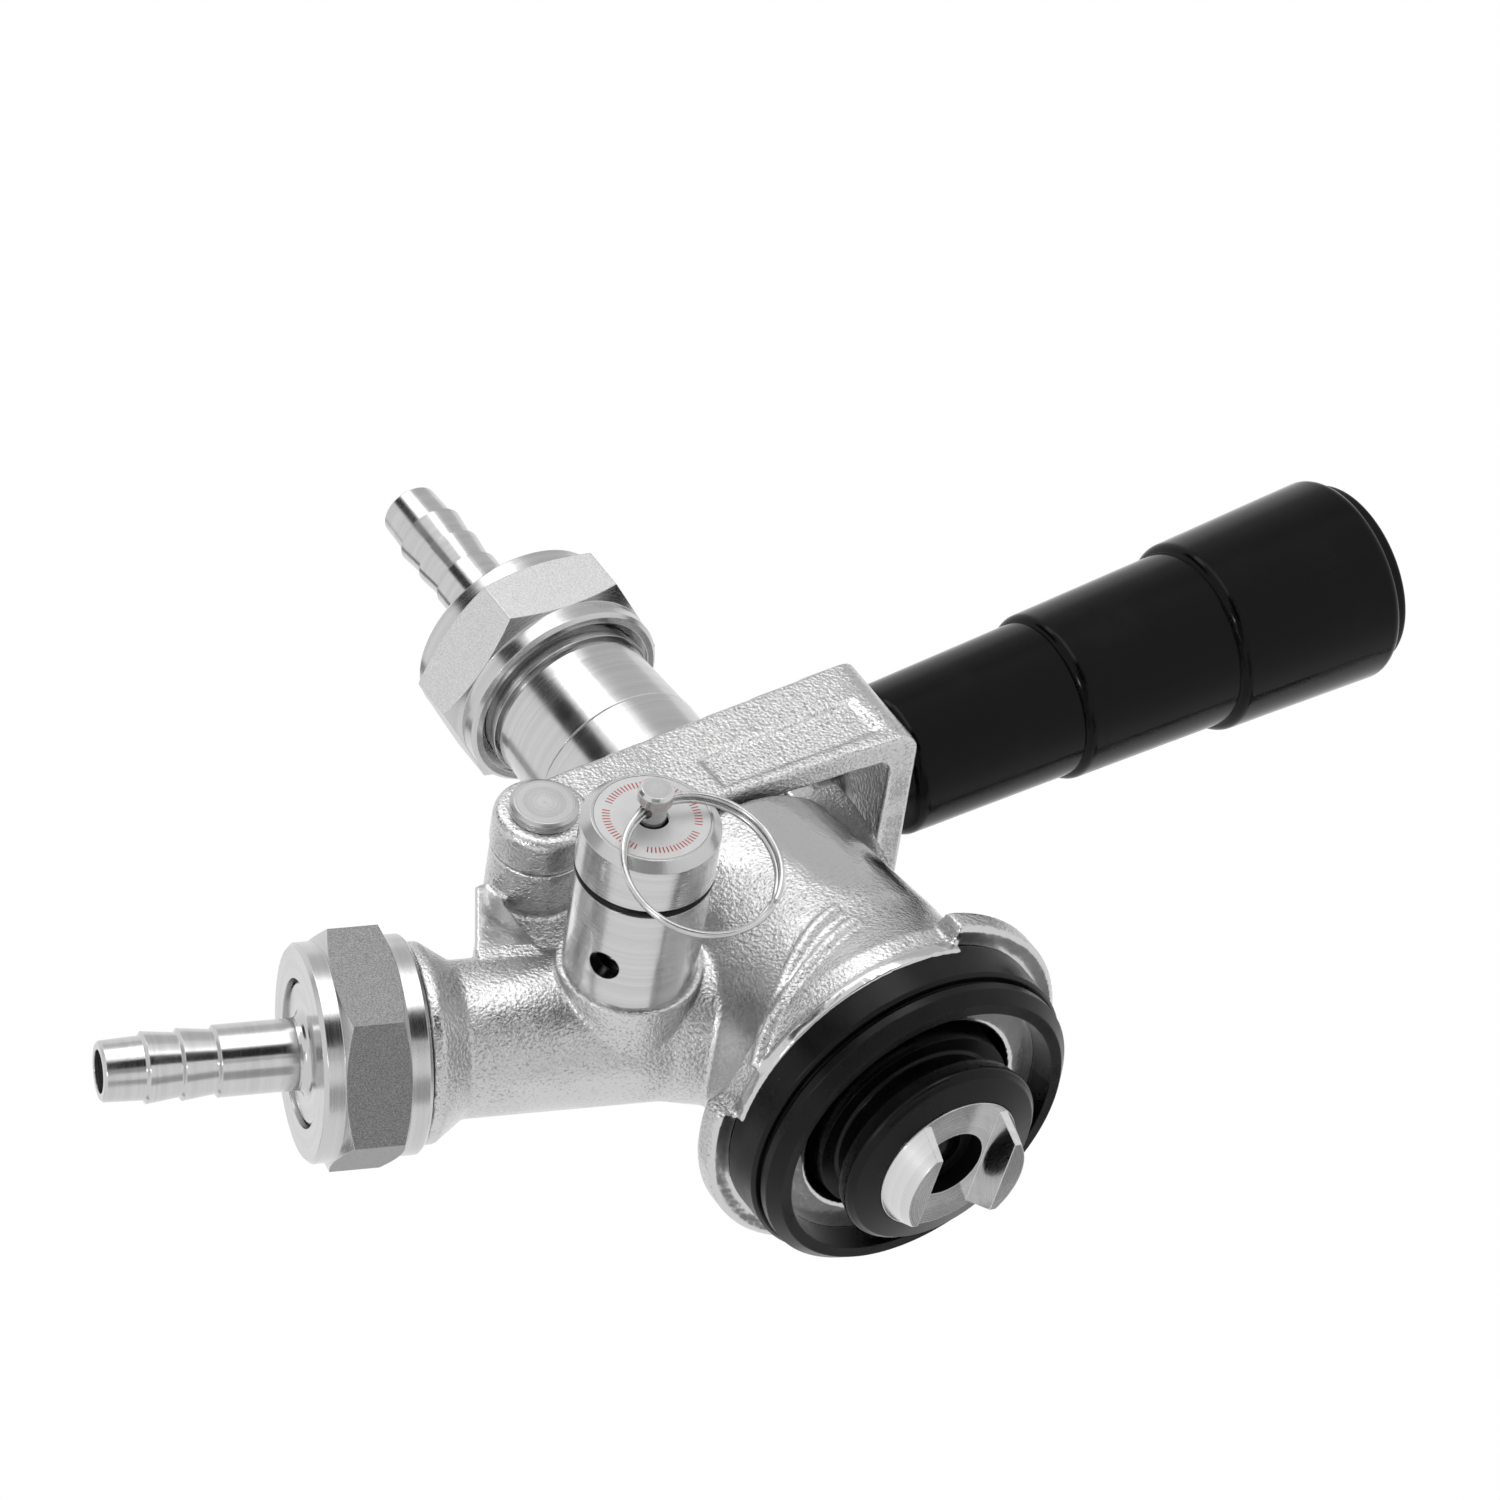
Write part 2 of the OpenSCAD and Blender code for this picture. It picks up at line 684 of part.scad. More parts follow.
module tail_piece() {
  hub_top = washer_t + tail_flange_t + nut_lip_t - tail_hub_sink;
  tip = washer_t + tail_flange_t + nut_lip_t + barb_l;
  ridges = [for (i = [2:-1:0]) tip - ridge_first - ridge_pitch * i];
  difference() {
    rotate_extrude() polygon(concat(
      [[0, washer_t], [tail_flange_r, washer_t], [tail_flange_r, washer_t + tail_flange_t],
        [tail_hub_r, washer_t + tail_flange_t], [tail_hub_r, hub_top - edge], [tail_hub_r - edge, hub_top]],
      arc([barb_r + tail_fillet, hub_top + tail_fillet], tail_fillet, 270, 180),
      [for (z = ridges) each [[barb_r, z], [barb_r - ridge_drop, z + ridge_back]]],
      [[barb_tip_r, tip - barb_lip], [barb_tip_r - barb_lip, tip], [0, tip]]));
    translate([0, 0, -over]) cylinder(h = tip + 2 * over, r = barb_bore_r);
  }
}

module union_nut(turn) {
  translate([0, 0, washer_t + tail_flange_t + nut_lip_t - nut_l]) difference() {
    union() {
      rotate_extrude() polygon([
        [0, 0], [collar_r - collar_chamfer, 0], [collar_r, collar_chamfer], [collar_r, nut_l - collar_chamfer],
        [collar_r - collar_chamfer, nut_l], [0, nut_l]]);
      intersection() {
        rotate([0, 0, turn]) translate([0, 0, nut_inner_l])
          linear_extrude(height = hex_l) circle(r = hex_af / sqrt(3), $fn = 6);
        rotate_extrude() polygon([
          [0, nut_inner_l], [collar_r - edge, nut_inner_l], [hex_corner_r, nut_inner_l + hex_chamfer],
          [hex_corner_r, nut_inner_l + hex_l - hex_chamfer], [collar_r - edge, nut_inner_l + hex_l],
          [0, nut_inner_l + hex_l]]);
      }
    }
    translate([0, 0, -over]) cylinder(h = nut_l - nut_lip_t + over, r = thread_r + fit);
    translate([0, 0, -over]) cylinder(h = nut_l + 2 * over, r = nut_hole_r);
    cylinder(h = nut_entry_l, r1 = nut_entry_r, r2 = thread_r + fit);
  }
}

module gas_washer() {
  color("whitesmoke") on_gas_arm() translate([0, 0, arm_end_s]) union_washer();
}

module gas_tail() {
  color("lightgray") on_gas_arm() translate([0, 0, arm_end_s]) tail_piece();
}

module gas_nut() {
  color("gainsboro") on_gas_arm() translate([0, 0, arm_end_s]) union_nut(nut_turn_gas);
}

// Relief valve
module relief_housing() {
  color("silver") on_relief() difference() {
    union() {
      translate([0, 0, relief_foot_y]) cylinder(h = relief_top_y - relief_foot_y, r = relief_r);
      translate([0, 0, relief_foot_y - relief_stud_l])
        cylinder(h = relief_stud_l + over, r = relief_stud_r);
    }
    cylinder(h = relief_top_y, r = relief_port_r);
    translate([0, 0, relief_seat_y]) cylinder(h = relief_top_y, r = relief_in_r);
    translate([0, 0, relief_top_y - relief_mouth_l])
      cylinder(h = relief_mouth_l + over, r = relief_mouth_r + fit);
    translate([0, 0, vent_y]) rotate([0, 0, vent_turn]) rotate([0, 90, 0])
      cylinder(h = relief_r + over, r = vent_r);
  }
}

module relief_o_ring() {
  color("black") on_relief() o_ring(relief_top_y + cap_o_ring_r, cap_r - cap_o_ring_r - fit, cap_o_ring_r);
}

module relief_cap() {
  color("gainsboro") on_relief() difference() {
    union() {
      translate([0, 0, cap_foot_y]) rotate_extrude() polygon([
        [0, 0], [cap_r - edge, 0], [cap_r, edge], [cap_r, cap_h - cap_bevel_h],
        [cap_r - cap_bevel, cap_h], [0, cap_h]]);
      translate([0, 0, cap_foot_y - 2 * cap_o_ring_r - cap_spigot_l])
        cylinder(h = cap_spigot_l + 2 * cap_o_ring_r + over, r = relief_mouth_r - 2 * fit);
    }
    translate([0, 0, cap_top_y - cap_recess_t]) cylinder(h = cap_recess_t + over, r = cap_recess_r);
    translate([0, 0, relief_seat_y]) cylinder(h = cap_top_y, r = stem_r + fit);
    translate([0, 0, cap_foot_y + cap_h / 2]) cylinder(h = cap_h, r = cap_eye_r);
  }
}

module relief_disc() {
  color([0.87, 0.88, 0.88]) on_relief()
    ring_at(cap_top_y - cap_recess_t, disc_t, cap_recess_r - fit, disc_hole_r);
}

poppet_top_y = relief_seat_y + poppet_seal_t + poppet_t;
cap_inner_y = relief_top_y - cap_spigot_l;

// The spring rides on the stem and is drawn as short as it is with the valve pulled open
module relief_spring() {
  color("gray") on_relief() translate([0, 0, poppet_top_y + clear])
    spring(cap_inner_y - 2 * clear - relief_travel - poppet_top_y, relief_spring_mid_r,
      relief_spring_wire_r, relief_spring_turns);
}

module relief_stem() {
  color("lightgray") on_relief() difference() {
    union() {
      translate([0, 0, relief_seat_y + poppet_seal_t]) cylinder(h = poppet_t, r = poppet_r);
      translate([0, 0, relief_seat_y + poppet_seal_t])
        cylinder(h = knob_top_y - relief_seat_y - poppet_seal_t - over, r = stem_r);
      translate([0, 0, knob_foot_y]) cylinder(h = knob_top_y - knob_foot_y - edge, r = knob_r);
      translate([0, 0, knob_top_y - edge]) cylinder(h = edge, r1 = knob_r, r2 = knob_r - edge);
    }
    translate([0, 0, stem_eye_y]) rotate([0, 90, 0])
      cylinder(h = 2 * (knob_r + over), r = stem_eye_r, center = true);
  }
}

module relief_seal() {
  color("black") on_relief()
    translate([0, 0, relief_seat_y]) cylinder(h = poppet_seal_t, r = poppet_seal_r);
}

// Two turns of wire lying side by side, joined along their length
module pull_ring() {
  color("silver") translate([-relief_x, -stem_eye_y, relief_z]) rotate([ring_tilt, 0, 0])
    rotate([0, -ring_turn, 0]) translate([0, 0, -ring_r]) rotate([90, 0, 0]) rotate_extrude() translate([ring_r, 0])
      for (side = [-1, 1]) translate([side * ring_lobe_gap / 2, side * ring_lobe_gap])
        circle(r = ring_wire_r, $fn = 24);
}

// Lever
module yoke_side() {
  translate([-pivot_x, pivot_z]) circle(r = boss_r);
  polygon([
    [-pivot_x, pivot_z - boss_r], [-yoke_arch_x, yoke_arch_z], [yoke_end_x, yoke_low_z],
    [yoke_end_x, yoke_high_z], [-pivot_x, pivot_z + boss_r]]);
}

// A bar from the pivot to x, of width w, with its two far corners rounded
module yoke_plan(x, w, corner) {
  start = pivot_x + boss_r + over;
  translate([-start, -w / 2]) square([start + x - corner, w]);
  translate([-start, corner - w / 2]) square([start + x, w - 2 * corner]);
  for (side = [-1, 1]) translate([x - corner, side * (w / 2 - corner)]) circle(r = corner);
}

function yoke_edge_z(x, share) =
  let (s = (x + pivot_x) / (yoke_end_x + pivot_x),
    low = pivot_z - boss_r + (yoke_low_z - pivot_z + boss_r) * s,
    high = pivot_z + boss_r + (yoke_high_z - pivot_z - boss_r) * s)
  low + (high - low) * share;

module yoke_recess() {
  polygon([
    [recess_x[0], yoke_edge_z(recess_x[0], recess_high_share[0])],
    [recess_x[0] + edge, yoke_edge_z(recess_x[0], recess_low_share[0])],
    [recess_x[1], yoke_edge_z(recess_x[1], recess_low_share[1])],
    [recess_x[1] - edge, yoke_edge_z(recess_x[1], recess_high_share[1])]]);
}

module drive_slot(side) {
  depth = drive_pin_out + slot_floor_gap - yoke_gap / 2;
  half = drive_pin_r + slot_gap;
  translate([0, side * (yoke_gap / 2 + depth / 2), drive_pin_z]) {
    for (x = [slot_gap - slot_end_gap, slot_run + slot_end_gap - slot_gap])
      translate([x, 0, 0]) rotate([90, 0, 0]) cylinder(h = depth + 2 * fit, r = half, center = true);
    translate([slot_gap - slot_end_gap, -depth / 2 - fit, -half])
      cube([slot_run + 2 * (slot_end_gap - slot_gap), depth + 2 * fit, 2 * half]);
  }
}

module lever_yoke() {
  wall_x = yoke_end_x - yoke_wall_t;
  color("silver") difference() {
    union() {
      intersection() {
        in_xz(yoke_w) yoke_side();
        translate([0, 0, yoke_low_z - boss_r]) linear_extrude(height = yoke_high_z) difference() {
          yoke_plan(yoke_end_x, yoke_w, yoke_corner);
          translate([-over, 0]) yoke_plan(wall_x + over, yoke_gap, yoke_inner_corner);
        }
      }
      for (turn = [0, 180]) at_pivot() rotate([turn, 0, 0]) rotate_extrude() polygon(concat(
        [[0, yoke_gap / 2], [boss_r, yoke_gap / 2]],
        arc([boss_r - boss_round, boss_w / 2 - boss_round], boss_round, 0, 90),
        [[0, boss_w / 2]]));
    }
    at_pivot() cylinder(h = boss_w + over, r = pivot_pin_r + slide_fit, center = true);
    for (side = [-1, 1]) {
      drive_slot(side);
      translate([0, side * (yoke_w / 2 + over / 2 - recess_t / 2), 0]) in_xz(recess_t + over) yoke_recess();
    }
    on_handle() translate([0, 0, -yoke_wall_t - over])
      cylinder(h = yoke_wall_t + 2 * over, r = tube_r + fit);
  }
}

module handle_tube() {
  color("lightgray") on_handle() difference() {
    translate([0, 0, -yoke_wall_t + edge]) cylinder(h = tube_l + yoke_wall_t - edge, r = tube_r);
    translate([0, 0, -yoke_wall_t]) cylinder(h = tube_l, r = rod_r + slide_fit);
    translate([0, 0, tube_guide_l - yoke_wall_t]) cylinder(h = tube_l + yoke_wall_t, r = tube_in_r);
  }
}

spring_foot_s = rod_collar_s + rod_collar_l;
spring_head_s = tube_l - spring_seat_l;

module handle_spring() {
  color("gray") on_handle() translate([0, 0, spring_foot_s + clear])
    spring(spring_head_s - spring_foot_s - clear, spring_mid_r, spring_wire_r, spring_turns);
}

module spring_seat() {
  color("dimgray") on_handle() ring_at(spring_head_s, spring_seat_l, tube_in_r - fit, rod_r + slide_fit);
}

rod_l = grip_bore_l + rod_end_gap;

module lock_rod() {
  color("silver") on_handle() {
    translate([0, 0, -yoke_wall_t - rod_reach + edge])
      cylinder(h = rod_l + yoke_wall_t + rod_reach - edge, r = rod_r);
    translate([0, 0, -yoke_wall_t - rod_reach]) cylinder(h = edge, r1 = rod_r - edge, r2 = rod_r);
    translate([0, 0, rod_collar_s]) cylinder(h = rod_collar_l, r = rod_collar_r);
  }
}

module grip() {
  color([0.03, 0.03, 0.035]) on_handle() difference() {
    rotate_extrude() polygon(concat(
      [[0, grip_gap]],
      arc([grip_r_1[0] - grip_round, grip_gap + grip_round], grip_round, 270, 360),
      [[grip_r_1[1], grip_step_1]],
      arc([grip_r_2[0] - shoulder_round, grip_step_1 + shoulder_round], shoulder_round, 270, 360),
      [[grip_r_2[1], grip_step_2]],
      arc([grip_r_3[0] - shoulder_round, grip_step_2 + shoulder_round], shoulder_round, 270, 360),
      arc([grip_r_3[1] - shoulder_round, grip_step_3 - shoulder_round], shoulder_round, 0, 90),
      [[0, grip_step_3]]));
    cylinder(h = grip_bore_l, r = tube_r + slide_fit);
    cylinder(h = rod_l + clear, r = rod_r + fit);
    translate([0, 0, grip_step_3 - end_cap_spigot_l - fit])
      cylinder(h = end_cap_spigot_l + over, r = end_cap_spigot_r + fit);
  }
}

module grip_end_cap() {
  color([0.05, 0.05, 0.05]) on_handle() {
    translate([0, 0, grip_step_3]) rotate_extrude() polygon(concat(
      [[0, 0], [end_cap_r, 0]],
      arc([end_cap_r - end_cap_round, end_cap_t - end_cap_round], end_cap_round, 0, 90),
      [[0, end_cap_t]]));
    translate([0, 0, grip_step_3 - end_cap_spigot_l])
      cylinder(h = end_cap_spigot_l + over, r = end_cap_spigot_r);
  }
}

// Probe
module probe_body() {
  nose_z = tip_face_z + tip_flange_t;
  color("gainsboro") difference() {
    rotate_extrude() polygon([
      [0, nose_z], [probe_nose_r, nose_z], [probe_nose_r, probe_shoulder_z], [probe_r - edge, probe_shoulder_z],
      [probe_r, probe_shoulder_z + edge], [probe_r, probe_seam_z - seam_chamfer],
      [probe_r - seam_chamfer, probe_seam_z], [0, probe_seam_z]]);
    translate([0, 0, nose_z - over])
      cylinder(h = cage_top_z + stop_t - nose_z + over, r = tip_spigot_r + fit);
    translate([0, 0, nose_z]) cylinder(h = probe_seam_z, r = beer_way_r);
    translate([0, 0, probe_seam_z - spigot_l - fit]) cylinder(h = spigot_l + over, r = spigot_r + fit);
    for (side = [-1, 1]) translate([0, side * (drive_pin_in - fit), drive_pin_z]) rotate([-90 * side, 0, 0])
      cylinder(h = probe_r, r = drive_pin_r + fit);
  }
}

module probe_outlet() {
  top_z = beer_nut_z + nut_l - nut_lip_t - tail_flange_t - washer_t;
  ring_z = beer_nut_z - clear - outlet_ring_h;
  color("gainsboro") difference() {
    union() {
      rotate_extrude() polygon([
        [0, probe_seam_z], [outlet_foot_r - seam_chamfer, probe_seam_z], [outlet_foot_r, probe_seam_z + seam_chamfer],
        [outlet_neck_r, outlet_neck_z], [outlet_neck_r, ring_z - outlet_groove_h],
        [outlet_groove_r, ring_z - outlet_groove_h], [outlet_groove_r, ring_z], [outlet_ring_r, ring_z],
        [outlet_ring_r, ring_z + outlet_ring_h], [thread_r, ring_z + outlet_ring_h], [thread_r, top_z - edge],
        [thread_r - edge, top_z], [0, top_z]]);
      translate([0, 0, probe_seam_z - spigot_l]) cylinder(h = spigot_l + over, r = spigot_r);
    }
    translate([0, 0, probe_seam_z - spigot_l - over]) cylinder(h = top_z, r = beer_way_r);
  }
}

module drive_ring() {
  color("silver") difference() {
    ring_at(drive_ring_z, drive_ring_h, drive_ring_r, probe_r + fit);
    for (side = [-1, 1]) translate([0, side * probe_nose_r, drive_pin_z]) rotate([-90 * side, 0, 0])
      cylinder(h = drive_ring_r, r = drive_pin_r + fit);
  }
}

module drive_pin(side) {
  color("lightgray") translate([0, side * drive_pin_in, drive_pin_z]) rotate([-90 * side, 0, 0])
    cylinder(h = drive_pin_out - drive_pin_in, r = drive_pin_r);
}

module drive_pin_front() {
  drive_pin(-1);
}

module drive_pin_rear() {
  drive_pin(1);
}

module probe_seal() {
  foot_z = tip_face_z + tip_flange_t;
  groove_z = foot_z + seal_flange_t;
  top_z = groove_z + seal_groove_h;
  color([0.05, 0.05, 0.055]) rotate_extrude() polygon(concat(
    [[probe_nose_r + fit, foot_z + fit], [tip_r + fit, foot_z + fit], [tip_r + fit, tip_face_z + seal_nose_rise],
      [probe_seal_r - seal_round, foot_z - seal_nose_drop]],
    arc([probe_seal_r - seal_round, foot_z + seal_round - seal_nose_drop / 2], seal_round, 300, 360, 4),
    [[probe_seal_r - edge, groove_z], [probe_seal_groove_r + edge, groove_z],
      [probe_seal_groove_r, groove_z + edge], [probe_seal_groove_r, top_z - edge],
      [probe_seal_groove_r + edge, top_z], [probe_seal_top_r - edge, top_z]],
    arc([probe_seal_top_r - seal_round, probe_shoulder_z - seal_round], seal_round, 0, 90, 4),
    [[probe_nose_r + fit, probe_shoulder_z]]));
}

// One prong: the outer slice of the tip, narrower all round at its blunt end
module prong_side() {
  intersection() {
    translate([0, 0, prong_end_z])
      cylinder(h = tip_face_z - prong_end_z + fit, r1 = prong_end_r, r2 = tip_r - fit);
    in_xz(2 * (tip_r + over)) polygon([
      [prong_foot_x, tip_face_z + fit], [prong_end_x, prong_end_z],
      [tip_r + over, prong_end_z], [tip_r + over, tip_face_z + fit]]);
    rotate([0, 0, 90]) in_xz(2 * (tip_r + over)) polygon([
      [-prong_foot_w / 2, tip_face_z + fit], [-prong_end_w / 2, prong_end_z],
      [prong_end_w / 2, prong_end_z], [prong_foot_w / 2, tip_face_z + fit]]);
  }
}

module probe_tip() {
  foot_z = tip_face_z + tip_flange_t;
  seat_z = tip_face_z + tip_hole_depth;
  color("lightgray") difference() {
    union() {
      translate([0, 0, tip_face_z]) cylinder(h = tip_flange_t, r = tip_r);
      translate([0, 0, tip_face_z]) cylinder(h = cage_top_z - tip_face_z, r = tip_spigot_r);
      for (turn = [0, 180]) rotate([0, 0, turn + prong_turn]) prong_side();
    }
    translate([0, 0, prong_end_z - over]) cylinder(h = seat_z - prong_end_z + over, r = tip_hole_r);
    translate([0, 0, tip_face_z]) cylinder(h = cage_top_z, r = ball_seat_r);
    translate([0, 0, seat_z + ball_seat_t]) cylinder(h = cage_top_z - seat_z, r = cage_r);
  }
}

module ball_stop() {
  color("silver") intersection() {
    translate([0, 0, cage_top_z]) cylinder(h = stop_t, r = tip_spigot_r);
    union() {
      ring_at(cage_top_z, stop_t, tip_spigot_r, stop_ring_r);
      translate([-tip_spigot_r, -stop_bar_w / 2, cage_top_z]) cube([2 * tip_spigot_r, stop_bar_w, stop_t]);
    }
  }
}

module check_ball() {
  color([0.06, 0.06, 0.06]) translate([0, 0, ball_z]) sphere(r = ball_r);
}

module on_outlet() {
  translate([0, 0, beer_nut_z + nut_l - nut_lip_t - tail_flange_t - washer_t]) children();
}

module beer_washer() {
  color("whitesmoke") on_outlet() union_washer();
}

module beer_tail() {
  color("lightgray") on_outlet() tail_piece();
}

module beer_nut() {
  color("gainsboro") on_outlet() union_nut(nut_turn_beer);
}

body();
bottom_seal();
guide_o_ring_lower();
guide_o_ring_upper();
pivot_pin();
pivot_clip();
gas_check_valve();
gas_washer();
gas_tail();
gas_nut();
relief_housing();
relief_o_ring();
relief_cap();
relief_disc();
relief_spring();
relief_stem();
relief_seal();
pull_ring();
lever_yoke();
handle_tube();
handle_spring();
spring_seat();
lock_rod();
grip();
grip_end_cap();
probe_body();
probe_outlet();
drive_ring();
drive_pin_front();
drive_pin_rear();
probe_seal();
probe_tip();
ball_stop();
check_ball();
beer_washer();
beer_tail();
beer_nut();
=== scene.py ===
import bpy
import bmesh
import json
import math
from mathutils import Matrix, Vector

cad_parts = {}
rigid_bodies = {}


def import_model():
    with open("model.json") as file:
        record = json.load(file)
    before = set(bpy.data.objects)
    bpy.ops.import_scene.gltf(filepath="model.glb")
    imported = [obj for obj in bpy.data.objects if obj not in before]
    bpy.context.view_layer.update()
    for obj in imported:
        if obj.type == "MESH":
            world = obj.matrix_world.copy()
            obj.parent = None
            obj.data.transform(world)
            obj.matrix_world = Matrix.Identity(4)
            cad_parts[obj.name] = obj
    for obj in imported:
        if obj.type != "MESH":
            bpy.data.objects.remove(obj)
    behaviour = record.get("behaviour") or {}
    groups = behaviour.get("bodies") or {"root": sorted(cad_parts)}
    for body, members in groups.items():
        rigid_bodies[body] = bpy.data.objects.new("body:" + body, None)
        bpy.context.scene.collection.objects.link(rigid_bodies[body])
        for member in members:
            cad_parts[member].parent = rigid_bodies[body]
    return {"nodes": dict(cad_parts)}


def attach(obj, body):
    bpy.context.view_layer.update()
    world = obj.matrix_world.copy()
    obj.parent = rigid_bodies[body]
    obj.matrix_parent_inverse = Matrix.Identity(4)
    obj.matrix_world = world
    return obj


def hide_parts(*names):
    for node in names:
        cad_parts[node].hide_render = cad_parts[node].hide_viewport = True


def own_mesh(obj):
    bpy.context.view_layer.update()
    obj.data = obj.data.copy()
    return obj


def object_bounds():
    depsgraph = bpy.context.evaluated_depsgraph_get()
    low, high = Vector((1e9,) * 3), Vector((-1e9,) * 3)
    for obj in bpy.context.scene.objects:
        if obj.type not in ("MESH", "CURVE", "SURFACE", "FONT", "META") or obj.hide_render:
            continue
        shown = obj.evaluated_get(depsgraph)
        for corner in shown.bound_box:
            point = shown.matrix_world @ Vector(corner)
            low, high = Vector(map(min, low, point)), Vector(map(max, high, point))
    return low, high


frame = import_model()
cad_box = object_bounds()
nodes = frame["nodes"]
scene = bpy.context.scene
scene.view_settings.view_transform = "Standard"

# Object frame, in metres: probe axis on Z, gas arm towards -X, relief valve towards -Y
MM = 0.001
GAS_TILT = math.radians(18.3)
GAS_FOOT = Vector((0, 0, 24.4 * MM))
GAS_AXIS = Vector((-math.cos(GAS_TILT), 0, math.sin(GAS_TILT)))
HANDLE_TILT = math.radians(2.92)
HANDLE_FOOT = Vector((27.1 * MM, 0, 58.65 * MM))
HANDLE_AXIS = Vector((math.cos(HANDLE_TILT), 0, math.sin(HANDLE_TILT)))
RELIEF_FOOT = Vector((-25 * MM, 0, (24.4 + 25 * math.tan(GAS_TILT)) * MM))
RELIEF_AXIS = Vector((0, -1, 0))
PIVOT = Vector((-26.1 * MM, 0, 53.5 * MM))
PROBE_AXIS = Vector((0, 0, 1))
ORIGIN = Vector((0, 0, 0))
MIDDLE = Vector((10 * MM, 0, 40 * MM))

# The remeshed skin of the castings
SKIN_VOXEL = 0.34 * MM
BODY_ROUNDS = 3
LEVER_ROUNDS = 4

# The thin lip over the bottom seal: its span on each side in degrees, counted from the lugs,
# and its section as radius and height
LUG_ANGLE = -30
LIP_START = 41
LIP_SPAN = 98
LIP_STEPS = 64
LIP_SECTION = [(21.5 * MM, 7.7 * MM), (23.33 * MM, 7.7 * MM), (23.33 * MM, 9.4 * MM),
               (21.5 * MM, 9.4 * MM)]

# The hole in the probe's tip, whose walls are painted in shade, and the nuts' round collars,
# beyond which lies only the hexagon
TIP_THROAT_R = 4.97 * MM
NUT_ROUND_R = 14.03 * MM

# Where the body's casting grain changes. Each pair is where a change starts and ends, and
# WEB_RIM is the span of the web's smooth rim in X.
COLUMN_EDGE = (18.5 * MM, 21.5 * MM)
COLUMN_FOOT = (22 * MM, 31 * MM)
COLUMN_TURN = (math.radians(-106), math.radians(-88))
KEG_FACE_TOP = (9.3 * MM, 9.6 * MM)
WEB_RIM = (-41.4 * MM, -33 * MM)
WEB_FOOT = (40 * MM, 40.2 * MM)
WEB_SIDE = (-9.9 * MM, -9.4 * MM)
WEB_OFF_ARM = (11 * MM, 11.5 * MM)

# The ring of red marks on the relief valve's face: its radii, soft edge and half the marks
MARKS = (5.35 * MM, 6.3 * MM)
MARKS_SOFT = 0.05 * MM
MARKS_HALF_COUNT = 36

# The pull ring: the eye it hangs in, its own directions, radius and wire
RING_EYE = Vector((-25 * MM, -38.9 * MM, RELIEF_FOOT.z))
RING_TURN = Matrix.Rotation(math.radians(15), 3, "X") @ Matrix.Rotation(math.radians(-8), 3, "Y")
RING_RIGHT = RING_TURN @ Vector((1, 0, 0))
RING_DOWN = RING_TURN @ Vector((0, 0, 1))
RING_NORMAL = RING_TURN @ Vector((0, -1, 0))
RING_R = 10 * MM
RING_WIRE = 0.40 * MM
RING_GAP = 0.37 * MM
RING_SPLIT = math.radians(60)
RING_STEPS = 96
RING_SIDES = 12
RING_STEP = 0.08  # share of a turn in which the wire steps over to its second turn

# The studio: how far lamps and flags stand, the white world's level as a light, the floor
LAMP_DISTANCE = 1.2
FLAG_DISTANCE = 1.3
WORLD_LEVEL = 0.55
FLOOR_HALF = 2.0
FLOOR_DROP = 0.2 * MM

# The photograph's camera: its right, up and backward directions, place and lens
VIEW_RIGHT = Vector((0.84078751, -0.12019519, -0.52785365))
VIEW_UP = Vector((0.29421046, -0.71703431, 0.63190347))
VIEW_BACK = Vector((-0.45444094, -0.68659661, -0.56751082))
VIEW_PLACE = Vector((-0.65181801, -1.01048336, -0.76706293))
FOCAL_PIXELS = 11318.1
FRAME_PIXELS = 1500
SENSOR = 36


def add_camera():
    data = bpy.data.cameras.new("camera")
    data.sensor_width = SENSOR
    data.lens = FOCAL_PIXELS / FRAME_PIXELS * SENSOR
    data.clip_start = 0.05
    data.clip_end = 20
    camera = bpy.data.objects.new("camera", data)
    turn = Matrix((VIEW_RIGHT, VIEW_UP, VIEW_BACK)).transposed()
    camera.matrix_world = Matrix.Translation(VIEW_PLACE) @ turn.to_4x4()
    scene.collection.objects.link(camera)
    scene.camera = camera


